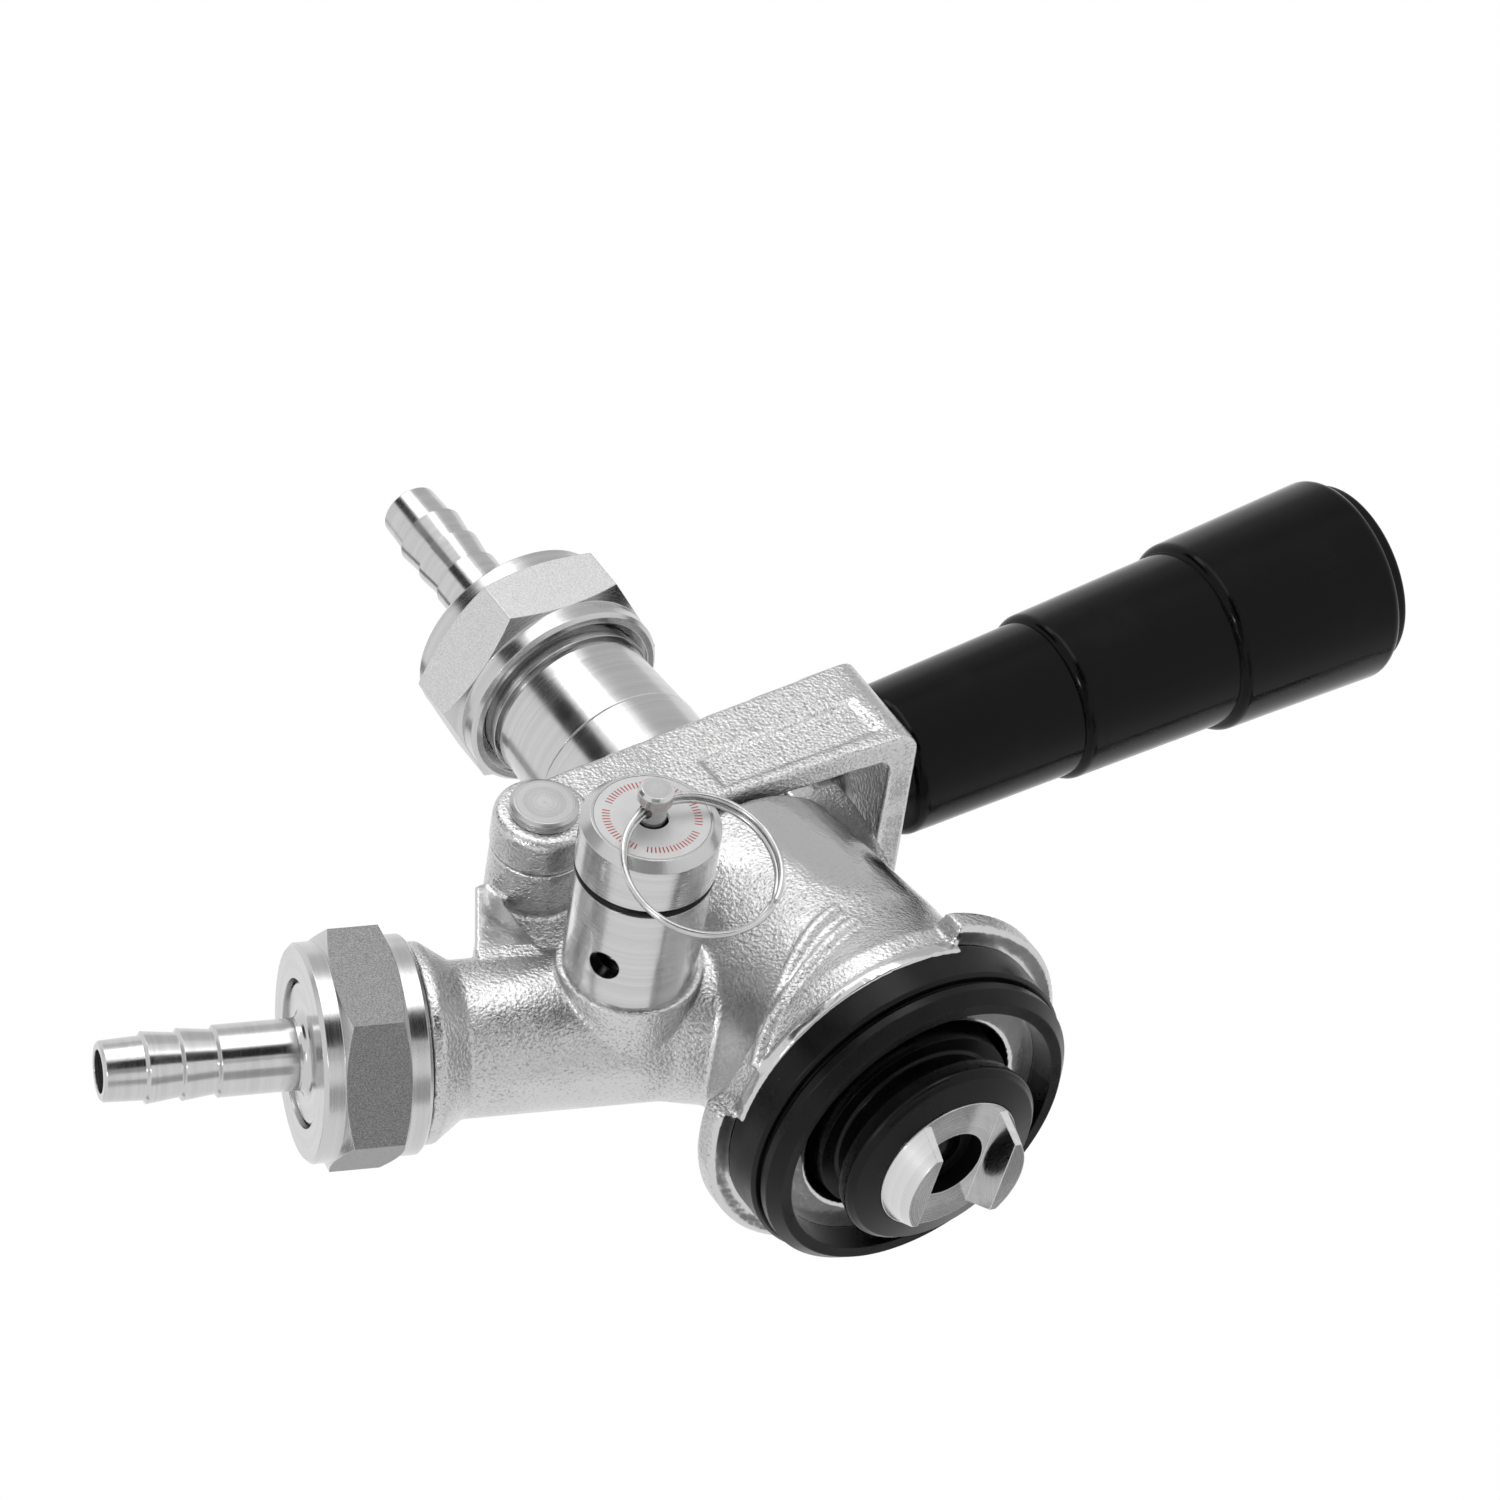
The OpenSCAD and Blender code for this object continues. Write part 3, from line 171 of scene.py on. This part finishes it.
class Tree:
    """Short calls for shader nodes: each returns the output socket of the node it makes."""

    def __init__(self, tree):
        self.tree = tree

    def put(self, socket, value):
        if isinstance(value, bpy.types.NodeSocket):
            self.tree.links.new(value, socket)
        elif value is not None:
            socket.default_value = value

    def node(self, kind, **settings):
        made = self.tree.nodes.new(kind)
        for name, value in settings.items():
            setattr(made, name, value)
        return made

    def math(self, operation, a, b=None, c=None):
        made = self.node("ShaderNodeMath", operation=operation)
        for i, value in enumerate((a, b, c)):
            self.put(made.inputs[i], value)
        return made.outputs[0]

    def vector(self, operation, a, b=None):
        made = self.node("ShaderNodeVectorMath", operation=operation)
        self.put(made.inputs[0], a)
        self.put(made.inputs[1], b)
        return made.outputs["Value" if operation in ("DOT_PRODUCT", "LENGTH") else "Vector"]

    def ramp(self, value, low, high, out_low=0.0, out_high=1.0):
        made = self.node("ShaderNodeMapRange", interpolation_type="SMOOTHSTEP")
        for i, v in enumerate((value, low, high, out_low, out_high)):
            self.put(made.inputs[i], v)
        return made.outputs[0]

    def noise(self, coords, scale, detail=2.0, rough=0.5, w=None):
        made = self.node("ShaderNodeTexNoise", noise_dimensions="3D" if w is None else "1D")
        if w is None:
            self.put(made.inputs["Vector"], coords)
        else:
            self.put(made.inputs["W"], w)
        made.inputs["Scale"].default_value = scale
        made.inputs["Detail"].default_value = detail
        made.inputs["Roughness"].default_value = rough
        return made.outputs["Fac"]

    def cells(self, coords, scale):
        made = self.node("ShaderNodeTexVoronoi", feature="F1")
        self.put(made.inputs["Vector"], coords)
        made.inputs["Scale"].default_value = scale
        return made.outputs["Distance"]

    def mix(self, factor, a, b):
        made = self.node("ShaderNodeMix", data_type="RGBA")
        self.put(made.inputs[0], factor)
        self.put(made.inputs[6], a)
        self.put(made.inputs[7], b)
        return made.outputs[2]

    def bump(self, height, distance, strength=1.0, normal=None):
        made = self.node("ShaderNodeBump")
        made.inputs["Distance"].default_value = distance
        self.put(made.inputs["Strength"], strength)
        self.put(made.inputs["Height"], height)
        if normal is not None:
            self.put(made.inputs["Normal"], normal)
        return made.outputs[0]

    def soft_edges(self, radius):
        made = self.node("ShaderNodeBevel", samples=4)
        made.inputs["Radius"].default_value = radius
        return made.outputs[0]

    def local(self, foot, axis):
        """Object coordinates turned so that the piece's own axis lies on Z."""
        place = self.node("ShaderNodeTexCoord").outputs["Object"]
        moved = self.vector("SUBTRACT", place, tuple(foot))
        side = axis.orthogonal().normalized()
        up = axis.cross(side)
        made = self.node("ShaderNodeCombineXYZ")
        for i, v in enumerate((side, up, axis)):
            self.put(made.inputs[i], self.vector("DOT_PRODUCT", moved, tuple(v)))
        return made.outputs[0]

    def split(self, coords):
        made = self.node("ShaderNodeSeparateXYZ")
        self.put(made.inputs[0], coords)
        return made.outputs

    def radius(self, coords):
        x, y, _ = self.split(coords)
        squares = self.math("ADD", self.math("MULTIPLY", x, x), self.math("MULTIPLY", y, y))
        return self.math("SQRT", squares)

    def band(self, value, low, high, soft):
        """1 between low and high, falling to 0 over the width soft on the outside."""
        return self.math("MULTIPLY", self.ramp(value, low - soft, low),
                         self.ramp(value, high, high + soft, 1.0, 0.0))

    def calmer(self, strength, cover, share):
        """The strength of a grain, less by the share where the mask covers it."""
        left = self.math("SUBTRACT", 1.0, self.math("MULTIPLY", cover, share))
        return self.math("MULTIPLY", strength, left)

    def facing(self, axis):
        """How far the surface's own normal points along the axis, either way."""
        normal = self.node("ShaderNodeTexCoord").outputs["Normal"]
        return self.math("ABSOLUTE", self.vector("DOT_PRODUCT", normal, tuple(axis)))


def grey(v):
    return (v, v, v, 1.0)


def new_material(name, metallic, rough, colour, specular=0.5):
    material = bpy.data.materials.new(name)
    material.use_nodes = True
    tree = Tree(material.node_tree)
    shader = material.node_tree.nodes["Principled BSDF"]
    shader.inputs["Metallic"].default_value = metallic
    shader.inputs["Roughness"].default_value = rough
    shader.inputs["Base Color"].default_value = colour
    shader.inputs["Specular IOR Level"].default_value = specular
    return material, tree, shader


def turned_metal(name, foot, axis, light=0.58, dark=0.53, rough=0.14, lines=1.0,
                 blasted_from=None, flat_greys_with_painted_light=(0.34, 0.5), throat_shade_radius=None):
    """Turned stainless steel: fine ring lines about the axis. Beyond the radius blasted_from
    it is a nut's hexagon, whose flat faces are finely blasted, in two given greys that carry
    painted light or painted shade. Within the given radius of the tip's hole, its walls are
    painted near black, a painted shade."""
    material, t, shader = new_material(name, 1.0, rough, grey(light))
    here = t.local(foot, axis)
    r = t.radius(here)
    along = t.math("ADD", t.split(here)[2], r)
    fine = t.noise(None, 9000.0, 2.0, 0.6, w=along)
    broad = t.noise(None, 700.0, 3.0, 0.6, w=along)
    cloud = t.noise(here, 90.0, 3.0, 0.6)
    tone = t.mix(t.ramp(broad, 0.3, 0.7), grey(dark), grey(light))
    gloss = t.math("ADD", t.ramp(fine, 0.3, 0.75, rough - 0.04, rough + 0.07),
                   t.ramp(cloud, 0.35, 0.7, -0.02, 0.05))
    height = t.math("ADD", t.math("MULTIPLY", fine, 0.5), t.math("MULTIPLY", broad, 0.5))
    normal = t.bump(height, 0.0000035 * lines, 1.0, t.soft_edges(0.00018))
    if blasted_from:
        blasted = t.math("MULTIPLY", t.ramp(r, blasted_from, blasted_from + 0.00006),
                         t.ramp(t.facing(axis), 0.2, 0.3, 1.0, 0.0))
        grain = t.noise(here, 5200.0, 2.0, 0.6)
        # The flat faces' two greys are set per nut and carry painted light or painted shade.
        speckle = t.mix(t.ramp(grain, 0.3, 0.7), grey(flat_greys_with_painted_light[0]), grey(flat_greys_with_painted_light[1]))
        tone = t.mix(blasted, tone, speckle)
        gloss = t.math("ADD", t.calmer(gloss, blasted, 1.0), t.math("MULTIPLY", blasted, 0.42))
        normal = t.bump(grain, 0.00003, blasted, normal)
    if throat_shade_radius:
        # Painted shade: the walls of the tip's hole are painted near black.
        inside = t.ramp(r, throat_shade_radius - 0.00002, throat_shade_radius + 0.00002, 1.0, 0.0)
        tone = t.mix(inside, tone, t.mix(cloud, grey(0.012), grey(0.03)))
        gloss = t.math("MAXIMUM", gloss, t.math("MULTIPLY", inside, 0.6))
    t.put(shader.inputs["Base Color"], tone)
    t.put(shader.inputs["Roughness"], gloss)
    t.put(shader.inputs["Normal"], normal)
    return material


def machined_areas(t, place, strength):
    """The body's grain, calmer on the ground side of the column and on the web's rim, and
    gone on the face that meets the keg."""
    x, y, z = t.split(place)
    turn = t.math("ARCTAN2", y, x)
    column = t.math("MULTIPLY", t.ramp(t.radius(place), *COLUMN_EDGE, 1.0, 0.0),
                    t.math("MULTIPLY", t.ramp(z, *COLUMN_FOOT), t.ramp(turn, *COLUMN_TURN)))
    strength = t.calmer(strength, column, 0.8)
    strength = t.calmer(strength, t.ramp(z, *KEG_FACE_TOP, 1.0, 0.0), 1.0)
    off_arm = t.ramp(t.radius(t.local(GAS_FOOT, GAS_AXIS)), *WEB_OFF_ARM)
    over = t.math("MULTIPLY", t.ramp(z, *WEB_FOOT), t.ramp(y, *WEB_SIDE))
    rim = t.math("MULTIPLY", t.band(x, *WEB_RIM, 0.6 * MM), t.math("MULTIPLY", off_arm, over))
    return t.calmer(strength, rim, 0.88)


def cast_metal(name, is_body):
    """Nickel-plated casting: a coarse sparkling grain, calmer in patches, with painted shade
    darkening the grain's hollows.
    """
    material, t, shader = new_material(name, 1.0, 0.2, grey(0.8))
    place = t.node("ShaderNodeTexCoord").outputs["Object"]
    patches = t.noise(place, 70.0, 3.0, 0.6)
    strength = t.ramp(patches, 0.36, 0.62, 0.4, 1.0)
    if is_body:
        strength = machined_areas(t, place, strength)
    grain = t.noise(place, 2600.0, 3.0, 0.6)
    dents = t.cells(place, 1900.0)
    swell = t.noise(place, 420.0, 2.0, 0.5)
    height = t.math("ADD", t.math("MULTIPLY", grain, 0.8), t.math("MULTIPLY", dents, 0.4))
    normal = t.bump(height, 0.00021, strength, t.bump(swell, 0.00016, 0.5))
    # Painted shade: the base colour is darker where the grain's bump is lowest.
    pit_shade = t.math("MULTIPLY", t.ramp(grain, 0.36, 0.46, 1.0, 0.0), strength)
    t.put(shader.inputs["Base Color"], t.mix(pit_shade, grey(0.58), grey(0.36)))
    t.put(shader.inputs["Roughness"], t.ramp(patches, 0.3, 0.7, 0.11, 0.18))
    t.put(shader.inputs["Normal"], normal)
    return material


def rubber(name):
    material, t, shader = new_material(name, 0.0, 0.3, grey(0.004), specular=0.19)
    place = t.node("ShaderNodeTexCoord").outputs["Object"]
    fine = t.noise(place, 3500.0, 3.0, 0.6)
    bloom = t.noise(place, 120.0, 4.0, 0.6)
    t.put(shader.inputs["Base Color"], t.mix(t.ramp(bloom, 0.4, 0.75), grey(0.002), grey(0.006)))
    t.put(shader.inputs["Roughness"], t.ramp(bloom, 0.3, 0.7, 0.24, 0.36))
    t.put(shader.inputs["Normal"], t.bump(fine, 0.00001, 0.6, t.soft_edges(0.0003)))
    return material


def moulded_plastic(name, rough=0.09):
    material, t, shader = new_material(name, 0.0, rough, grey(0.003), specular=0.12)
    place = t.node("ShaderNodeTexCoord").outputs["Object"]
    skin = t.noise(place, 260.0, 3.0, 0.55)
    fine = t.noise(place, 2600.0, 2.0, 0.5)
    wear = t.noise(place, 60.0, 5.0, 0.7)
    t.put(shader.inputs["Base Color"], t.mix(t.ramp(wear, 0.5, 0.8), grey(0.002), grey(0.005)))
    t.put(shader.inputs["Roughness"], t.ramp(wear, 0.35, 0.75, rough, rough + 0.12))
    waves = t.bump(skin, 0.00003, 0.35, t.soft_edges(0.0003))
    t.put(shader.inputs["Normal"], t.bump(fine, 0.000002, 0.5, waves))
    return material


def disc_face(name):
    """The relief valve's face: satin silver paint with a plain ring of fine red marks."""
    material, t, shader = new_material(name, 0.25, 0.34, grey(0.8), specular=0.5)
    here = t.local(RELIEF_FOOT, RELIEF_AXIS)
    x, y, _ = t.split(here)
    r = t.radius(here)
    turn = t.math("ARCTAN2", y, x)
    comb = t.math("ABSOLUTE", t.math("SINE", t.math("MULTIPLY", turn, MARKS_HALF_COUNT)))
    ring = t.band(r, *MARKS, MARKS_SOFT)
    gap = t.ramp(t.math("ABSOLUTE", t.math("SINE", t.math("MULTIPLY", turn, 2.0))), 0.12, 0.16)
    marks = t.math("MULTIPLY", t.math("MULTIPLY", ring, t.ramp(comb, 0.84, 0.9)), gap)
    cloud = t.noise(here, 300.0, 3.0, 0.6)
    paint = t.mix(cloud, grey(0.66), grey(0.76))
    t.put(shader.inputs["Base Color"], t.mix(marks, paint, (0.46, 0.03, 0.035, 1.0)))
    t.put(shader.inputs["Roughness"], t.ramp(cloud, 0.3, 0.7, 0.3, 0.4))
    t.put(shader.inputs["Normal"], t.bump(t.noise(here, 3000.0), 0.000006, 0.5))
    return material


def nylon(name):
    material, t, shader = new_material(name, 0.0, 0.45, grey(0.75))
    place = t.node("ShaderNodeTexCoord").outputs["Object"]
    cloud = t.noise(place, 200.0, 3.0, 0.6)
    t.put(shader.inputs["Base Color"], t.mix(cloud, grey(0.68), grey(0.8)))
    t.put(shader.inputs["Normal"], t.bump(t.noise(place, 2500.0), 0.00001, 0.5))
    return material


def dress(material, *names):
    for name in names:
        mesh = nodes[name].data
        mesh.materials.clear()
        mesh.materials.append(material)


CAST = cast_metal("cast_body", True)
CAST_LEVER = cast_metal("cast_lever", False)
PROBE_STEEL = turned_metal("turned_probe", ORIGIN, PROBE_AXIS, rough=0.16)
# The tip's hole is painted near black inside, a painted shade.
TIP_STEEL = turned_metal("turned_tip", ORIGIN, PROBE_AXIS, light=0.66, dark=0.6, rough=0.2,
                         throat_shade_radius=TIP_THROAT_R)
BEER_STEEL = turned_metal("turned_beer_fitting", ORIGIN, PROBE_AXIS, rough=0.17)
# One steel for both nuts: the beer nut's flat faces are painted lighter, a painted light, and the
# gas nut's darker, a painted shade.
BEER_NUT_PAINTED_LIGHT = turned_metal("nut_beer_painted_light", ORIGIN, PROBE_AXIS, rough=0.2, blasted_from=NUT_ROUND_R,
                        flat_greys_with_painted_light=(0.54, 0.72))
GAS_NUT_PAINTED_SHADE = turned_metal("nut_gas_painted_shade", GAS_FOOT, GAS_AXIS, rough=0.2, blasted_from=NUT_ROUND_R,
                       flat_greys_with_painted_light=(0.16, 0.30))
GAS_STEEL = turned_metal("turned_gas_fitting", GAS_FOOT, GAS_AXIS, rough=0.17)
RELIEF_STEEL = turned_metal("turned_relief_valve", RELIEF_FOOT, RELIEF_AXIS, rough=0.19)
PIN_STEEL = turned_metal("turned_pin", PIVOT, RELIEF_AXIS, light=0.56, dark=0.48, rough=0.28)
HANDLE_STEEL = turned_metal("turned_handle", HANDLE_FOOT, HANDLE_AXIS, rough=0.22)
WIRE_STEEL = turned_metal("spring_wire", RELIEF_FOOT, RELIEF_AXIS, light=0.6, dark=0.5, rough=0.2,
                          lines=0.6)
RUBBER = rubber("black_rubber")
GRIP = moulded_plastic("black_plastic")
GRIP_END = moulded_plastic("black_plastic_cap", rough=0.3)
NYLON = nylon("white_nylon")
DISC = disc_face("valve_face")

dress(CAST, "body")
dress(CAST_LEVER, "lever_yoke")
dress(RUBBER, "bottom_seal", "guide_o_ring_lower", "guide_o_ring_upper", "gas_check_valve",
      "relief_o_ring", "relief_seal", "probe_seal", "check_ball")
dress(PIN_STEEL, "pivot_pin", "pivot_clip")
dress(GAS_STEEL, "gas_tail")
dress(GAS_NUT_PAINTED_SHADE, "gas_nut")
dress(RELIEF_STEEL, "relief_housing", "relief_cap", "relief_stem")
dress(WIRE_STEEL, "relief_spring", "pull_ring")
dress(DISC, "relief_disc")
dress(HANDLE_STEEL, "handle_tube", "spring_seat", "lock_rod", "handle_spring")
dress(GRIP, "grip")
dress(GRIP_END, "grip_end_cap")
dress(PROBE_STEEL, "probe_body", "drive_ring", "drive_pin_front", "drive_pin_rear")
dress(TIP_STEEL, "probe_tip", "ball_stop")
dress(BEER_STEEL, "probe_outlet", "beer_tail")
dress(BEER_NUT_PAINTED_LIGHT, "beer_nut")
dress(NYLON, "gas_washer", "beer_washer")


def smooth_shading(mesh, angle=math.radians(32)):
    mesh.shade_smooth()
    mesh.set_sharp_from_angle(angle=angle)


def seal_backing(mesh):
    """Fills the thin lip over the bottom seal from inside, where the seal hides it, so that
    the lip is thick enough to be remeshed."""
    built = bmesh.new()
    built.from_mesh(mesh)
    for side in (0, 180):
        rings = []
        for i in range(LIP_STEPS + 1):
            a = math.radians(LUG_ANGLE + side + LIP_START + LIP_SPAN * i / LIP_STEPS)
            rings.append([built.verts.new((r * math.cos(a), r * math.sin(a), z))
                          for r, z in LIP_SECTION])
        for near, far in zip(rings, rings[1:]):
            for k in range(4):
                built.faces.new((near[k], near[(k + 1) % 4], far[(k + 1) % 4], far[k]))
        built.faces.new(reversed(rings[0]))
        built.faces.new(rings[-1])
    bmesh.ops.recalc_face_normals(built, faces=built.faces)
    built.to_mesh(mesh)
    built.free()


def cast_skin(source, name, material, body, rounds, prepare=None):
    """A casting's own skin: its solid remeshed and relaxed, so that its edges and the
    corners between its parts are rounded as a casting's are."""
    piece = bpy.data.objects.new(name, source.data.copy())
    if prepare:
        prepare(piece.data)
    scene.collection.objects.link(piece)
    remesh = piece.modifiers.new("remesh", "REMESH")
    remesh.mode = "VOXEL"
    remesh.voxel_size = SKIN_VOXEL
    relax = piece.modifiers.new("relax", "SMOOTH")
    relax.factor = 0.5
    relax.iterations = rounds
    graph = bpy.context.evaluated_depsgraph_get()
    made = bpy.data.meshes.new_from_object(piece.evaluated_get(graph))
    piece.modifiers.clear()
    piece.data = made
    made.name = name
    made.materials.clear()
    made.materials.append(material)
    made.shade_smooth()
    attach(piece, body)
    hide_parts(source.name)
    return piece


def split_ring():
    """Two turns of round wire side by side, with a short step from one turn to the other."""
    centre = RING_EYE - RING_R * RING_DOWN
    verts, faces = [], []
    count, around = 2 * RING_STEPS + 1, RING_SIDES
    for i in range(count):
        turns = i / RING_STEPS
        a = 2 * math.pi * turns + RING_SPLIT
        step = min(1.0, max(0.0, (turns - 1) / RING_STEP + 0.5))
        side = 2 * step * step * (3 - 2 * step) - 1
        out = RING_RIGHT * math.cos(a) - RING_DOWN * math.sin(a)
        place = centre + out * (RING_R + side * RING_GAP / 2) + RING_NORMAL * side * RING_GAP
        for k in range(around):
            b = 2 * math.pi * k / around
            verts.append(place + RING_WIRE * (out * math.cos(b) + RING_NORMAL * math.sin(b)))
    for i in range(0, (count - 1) * around, around):
        for k in range(around):
            n = (k + 1) % around
            faces.append((i + k, i + n, i + around + n, i + around + k))
    faces.append(tuple(range(around))[::-1])
    faces.append(tuple((count - 1) * around + k for k in range(around)))
    mesh = bpy.data.meshes.new("split_ring")
    mesh.from_pydata(verts, [], faces)
    made = bmesh.new()
    made.from_mesh(mesh)
    bmesh.ops.recalc_face_normals(made, faces=made.faces)
    made.to_mesh(mesh)
    made.free()
    mesh.materials.append(WIRE_STEEL)
    piece = bpy.data.objects.new("split_ring", mesh)
    scene.collection.objects.link(piece)
    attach(piece, "ring")
    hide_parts("pull_ring")
    return piece


def relief_coil():
    """The relief valve's spring: a copy with its own mesh, held on the casting, its outer end in
    the cap.
    """
    piece = bpy.data.objects.new("relief_coil", nodes["relief_spring"].data.copy())
    scene.collection.objects.link(piece)
    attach(piece, "casting")
    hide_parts("relief_spring")
    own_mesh(piece)
    return piece


casting_skin = cast_skin(nodes["body"], "casting_skin", CAST, "casting", BODY_ROUNDS,
                         seal_backing)
lever_skin = cast_skin(nodes["lever_yoke"], "lever_skin", CAST_LEVER, "lever", LEVER_ROUNDS)
ring = split_ring()
relief_coil()


def light_world():
    """Plain white behind the object, also in its reflections; a calmer level lights it."""
    world = bpy.data.worlds.new("studio")
    scene.world = world
    world.use_nodes = True
    t = Tree(world.node_tree)
    path = t.node("ShaderNodeLightPath").outputs
    seen_in = t.math("MAXIMUM", path["Is Glossy Ray"], path["Is Transmission Ray"])
    white = t.math("MAXIMUM", path["Is Camera Ray"], seen_in)
    background = world.node_tree.nodes["Background"]
    background.inputs["Color"].default_value = (1.0, 1.0, 1.0, 1.0)
    level = t.math("MULTIPLY_ADD", white, 1 - WORLD_LEVEL, WORLD_LEVEL)
    t.put(background.inputs["Strength"], level)


def bearing(azimuth, height):
    a, h = math.radians(azimuth), math.radians(height)
    return Vector((math.cos(a) * math.cos(h), math.sin(a) * math.cos(h), math.sin(h)))


def add_lamp(name, direction, width, length, level):
    """A soft box that faces the object; level is its brightness beside the white background."""
    data = bpy.data.lights.new(name, "AREA")
    data.shape = "RECTANGLE"
    data.size = width
    data.size_y = length
    data.energy = level * math.pi * width * length
    lamp = bpy.data.objects.new(name, data)
    lamp.location = direction.normalized() * LAMP_DISTANCE + MIDDLE
    lamp.rotation_euler = direction.to_track_quat("Z", "Y").to_euler()
    scene.collection.objects.link(lamp)


def add_flag(name, direction, width, length, level, soft=0.3):
    """A grey or dark studio flag, seen by reflections only. It fades out over its outer
    share soft on each side."""
    mesh = bpy.data.meshes.new(name)
    x, y = width / 2, length / 2
    mesh.from_pydata([(-x, -y, 0), (x, -y, 0), (x, y, 0), (-x, y, 0)], [], [(0, 1, 2, 3)])
    flag = bpy.data.objects.new(name, mesh)
    scene.collection.objects.link(flag)
    turn = direction.to_track_quat("Z", "Y").to_matrix().to_4x4()
    flag.matrix_world = Matrix.Translation(direction.normalized() * FLAG_DISTANCE + MIDDLE) @ turn
    flag.visible_camera = False
    flag.visible_diffuse = False
    flag.visible_shadow = False
    flag.visible_transmission = False
    material = bpy.data.materials.new(name)
    material.use_nodes = True
    material.node_tree.nodes.clear()
    t = Tree(material.node_tree)
    place = t.split(t.node("ShaderNodeTexCoord").outputs["Object"])
    across = t.math("DIVIDE", t.math("ABSOLUTE", place[0]), x)
    along = t.math("DIVIDE", t.math("ABSOLUTE", place[1]), y)
    cover = t.math("MULTIPLY", t.ramp(across, 1 - soft, 1.0, 1.0, 0.0),
                   t.ramp(along, 1 - soft, 1.0, 1.0, 0.0))
    cloth = t.node("ShaderNodeEmission")
    cloth.inputs["Color"].default_value = (1.0, 1.0, 1.0, 1.0)
    cloth.inputs["Strength"].default_value = level
    blend = t.node("ShaderNodeMixShader")
    t.put(blend.inputs[0], cover)
    t.put(blend.inputs[1], t.node("ShaderNodeBsdfTransparent").outputs[0])
    t.put(blend.inputs[2], cloth.outputs[0])
    t.put(t.node("ShaderNodeOutputMaterial").inputs[0], blend.outputs[0])
    mesh.materials.append(material)


def add_floor():
    """A plain pale floor under the prongs. It shows from above only, because the photograph
    looks up from under it, and it lets the lamps below it through."""
    mesh = bpy.data.meshes.new("floor")
    half = FLOOR_HALF
    z = cad_box[0][2] - FLOOR_DROP
    corners = [(-half, -half, z), (half, -half, z), (half, half, z), (-half, half, z)]
    mesh.from_pydata(corners, [], [(0, 1, 2, 3)])
    floor = bpy.data.objects.new("floor", mesh)
    scene.collection.objects.link(floor)
    material, t, shader = new_material("floor", 0.0, 0.8, grey(0.82))
    place = t.node("ShaderNodeTexCoord").outputs["Object"]
    t.put(shader.inputs["Base Color"], t.mix(t.noise(place, 6.0, 3.0), grey(0.8), grey(0.84)))
    path = t.node("ShaderNodeLightPath").outputs
    below = t.node("ShaderNodeNewGeometry").outputs["Backfacing"]
    seen = t.math("MULTIPLY", path["Is Camera Ray"], t.math("SUBTRACT", 1.0, below))
    clear = t.node("ShaderNodeBsdfTransparent").outputs[0]
    blend = t.node("ShaderNodeMixShader")
    t.put(blend.inputs[0], seen)
    t.put(blend.inputs[1], clear)
    t.put(blend.inputs[2], shader.outputs[0])
    t.put(material.node_tree.nodes["Material Output"].inputs[0], blend.outputs[0])
    mesh.materials.append(material)


add_camera()
light_world()
add_lamp("key_tall", bearing(281, 13), 0.40, 0.95, 1.9)
add_lamp("key_wide", bearing(265, 42), 0.62, 0.32, 1.8)
add_lamp("spark", bearing(205, -20), 0.12, 0.12, 40)
add_flag("flag_dark", bearing(224, 41), 0.60, 0.95, 0.02)
add_flag("flag_low", bearing(274, -28), 0.85, 0.75, 0.01, soft=0.2)
add_flag("flag_front", bearing(232, -38), 1.2, 1.0, 0.4)
add_flag("flag_far", bearing(330, 38), 1.4, 1.2, 0.7)
add_flag("flag_thin_a", bearing(56, -34), 0.25, 0.6, 0.2)
add_flag("flag_thin_b", bearing(123, 30), 0.35, 0.6, 0.25)
add_flag("flag_nadir", bearing(150, -84), 0.7, 0.7, 0.45)
add_floor()

for piece in bpy.data.objects:
    shaded = piece.name in ("casting_skin", "lever_skin", "floor") or piece.name.startswith("flag")
    if piece.type == "MESH" and not shaded:
        smooth_shading(piece.data)
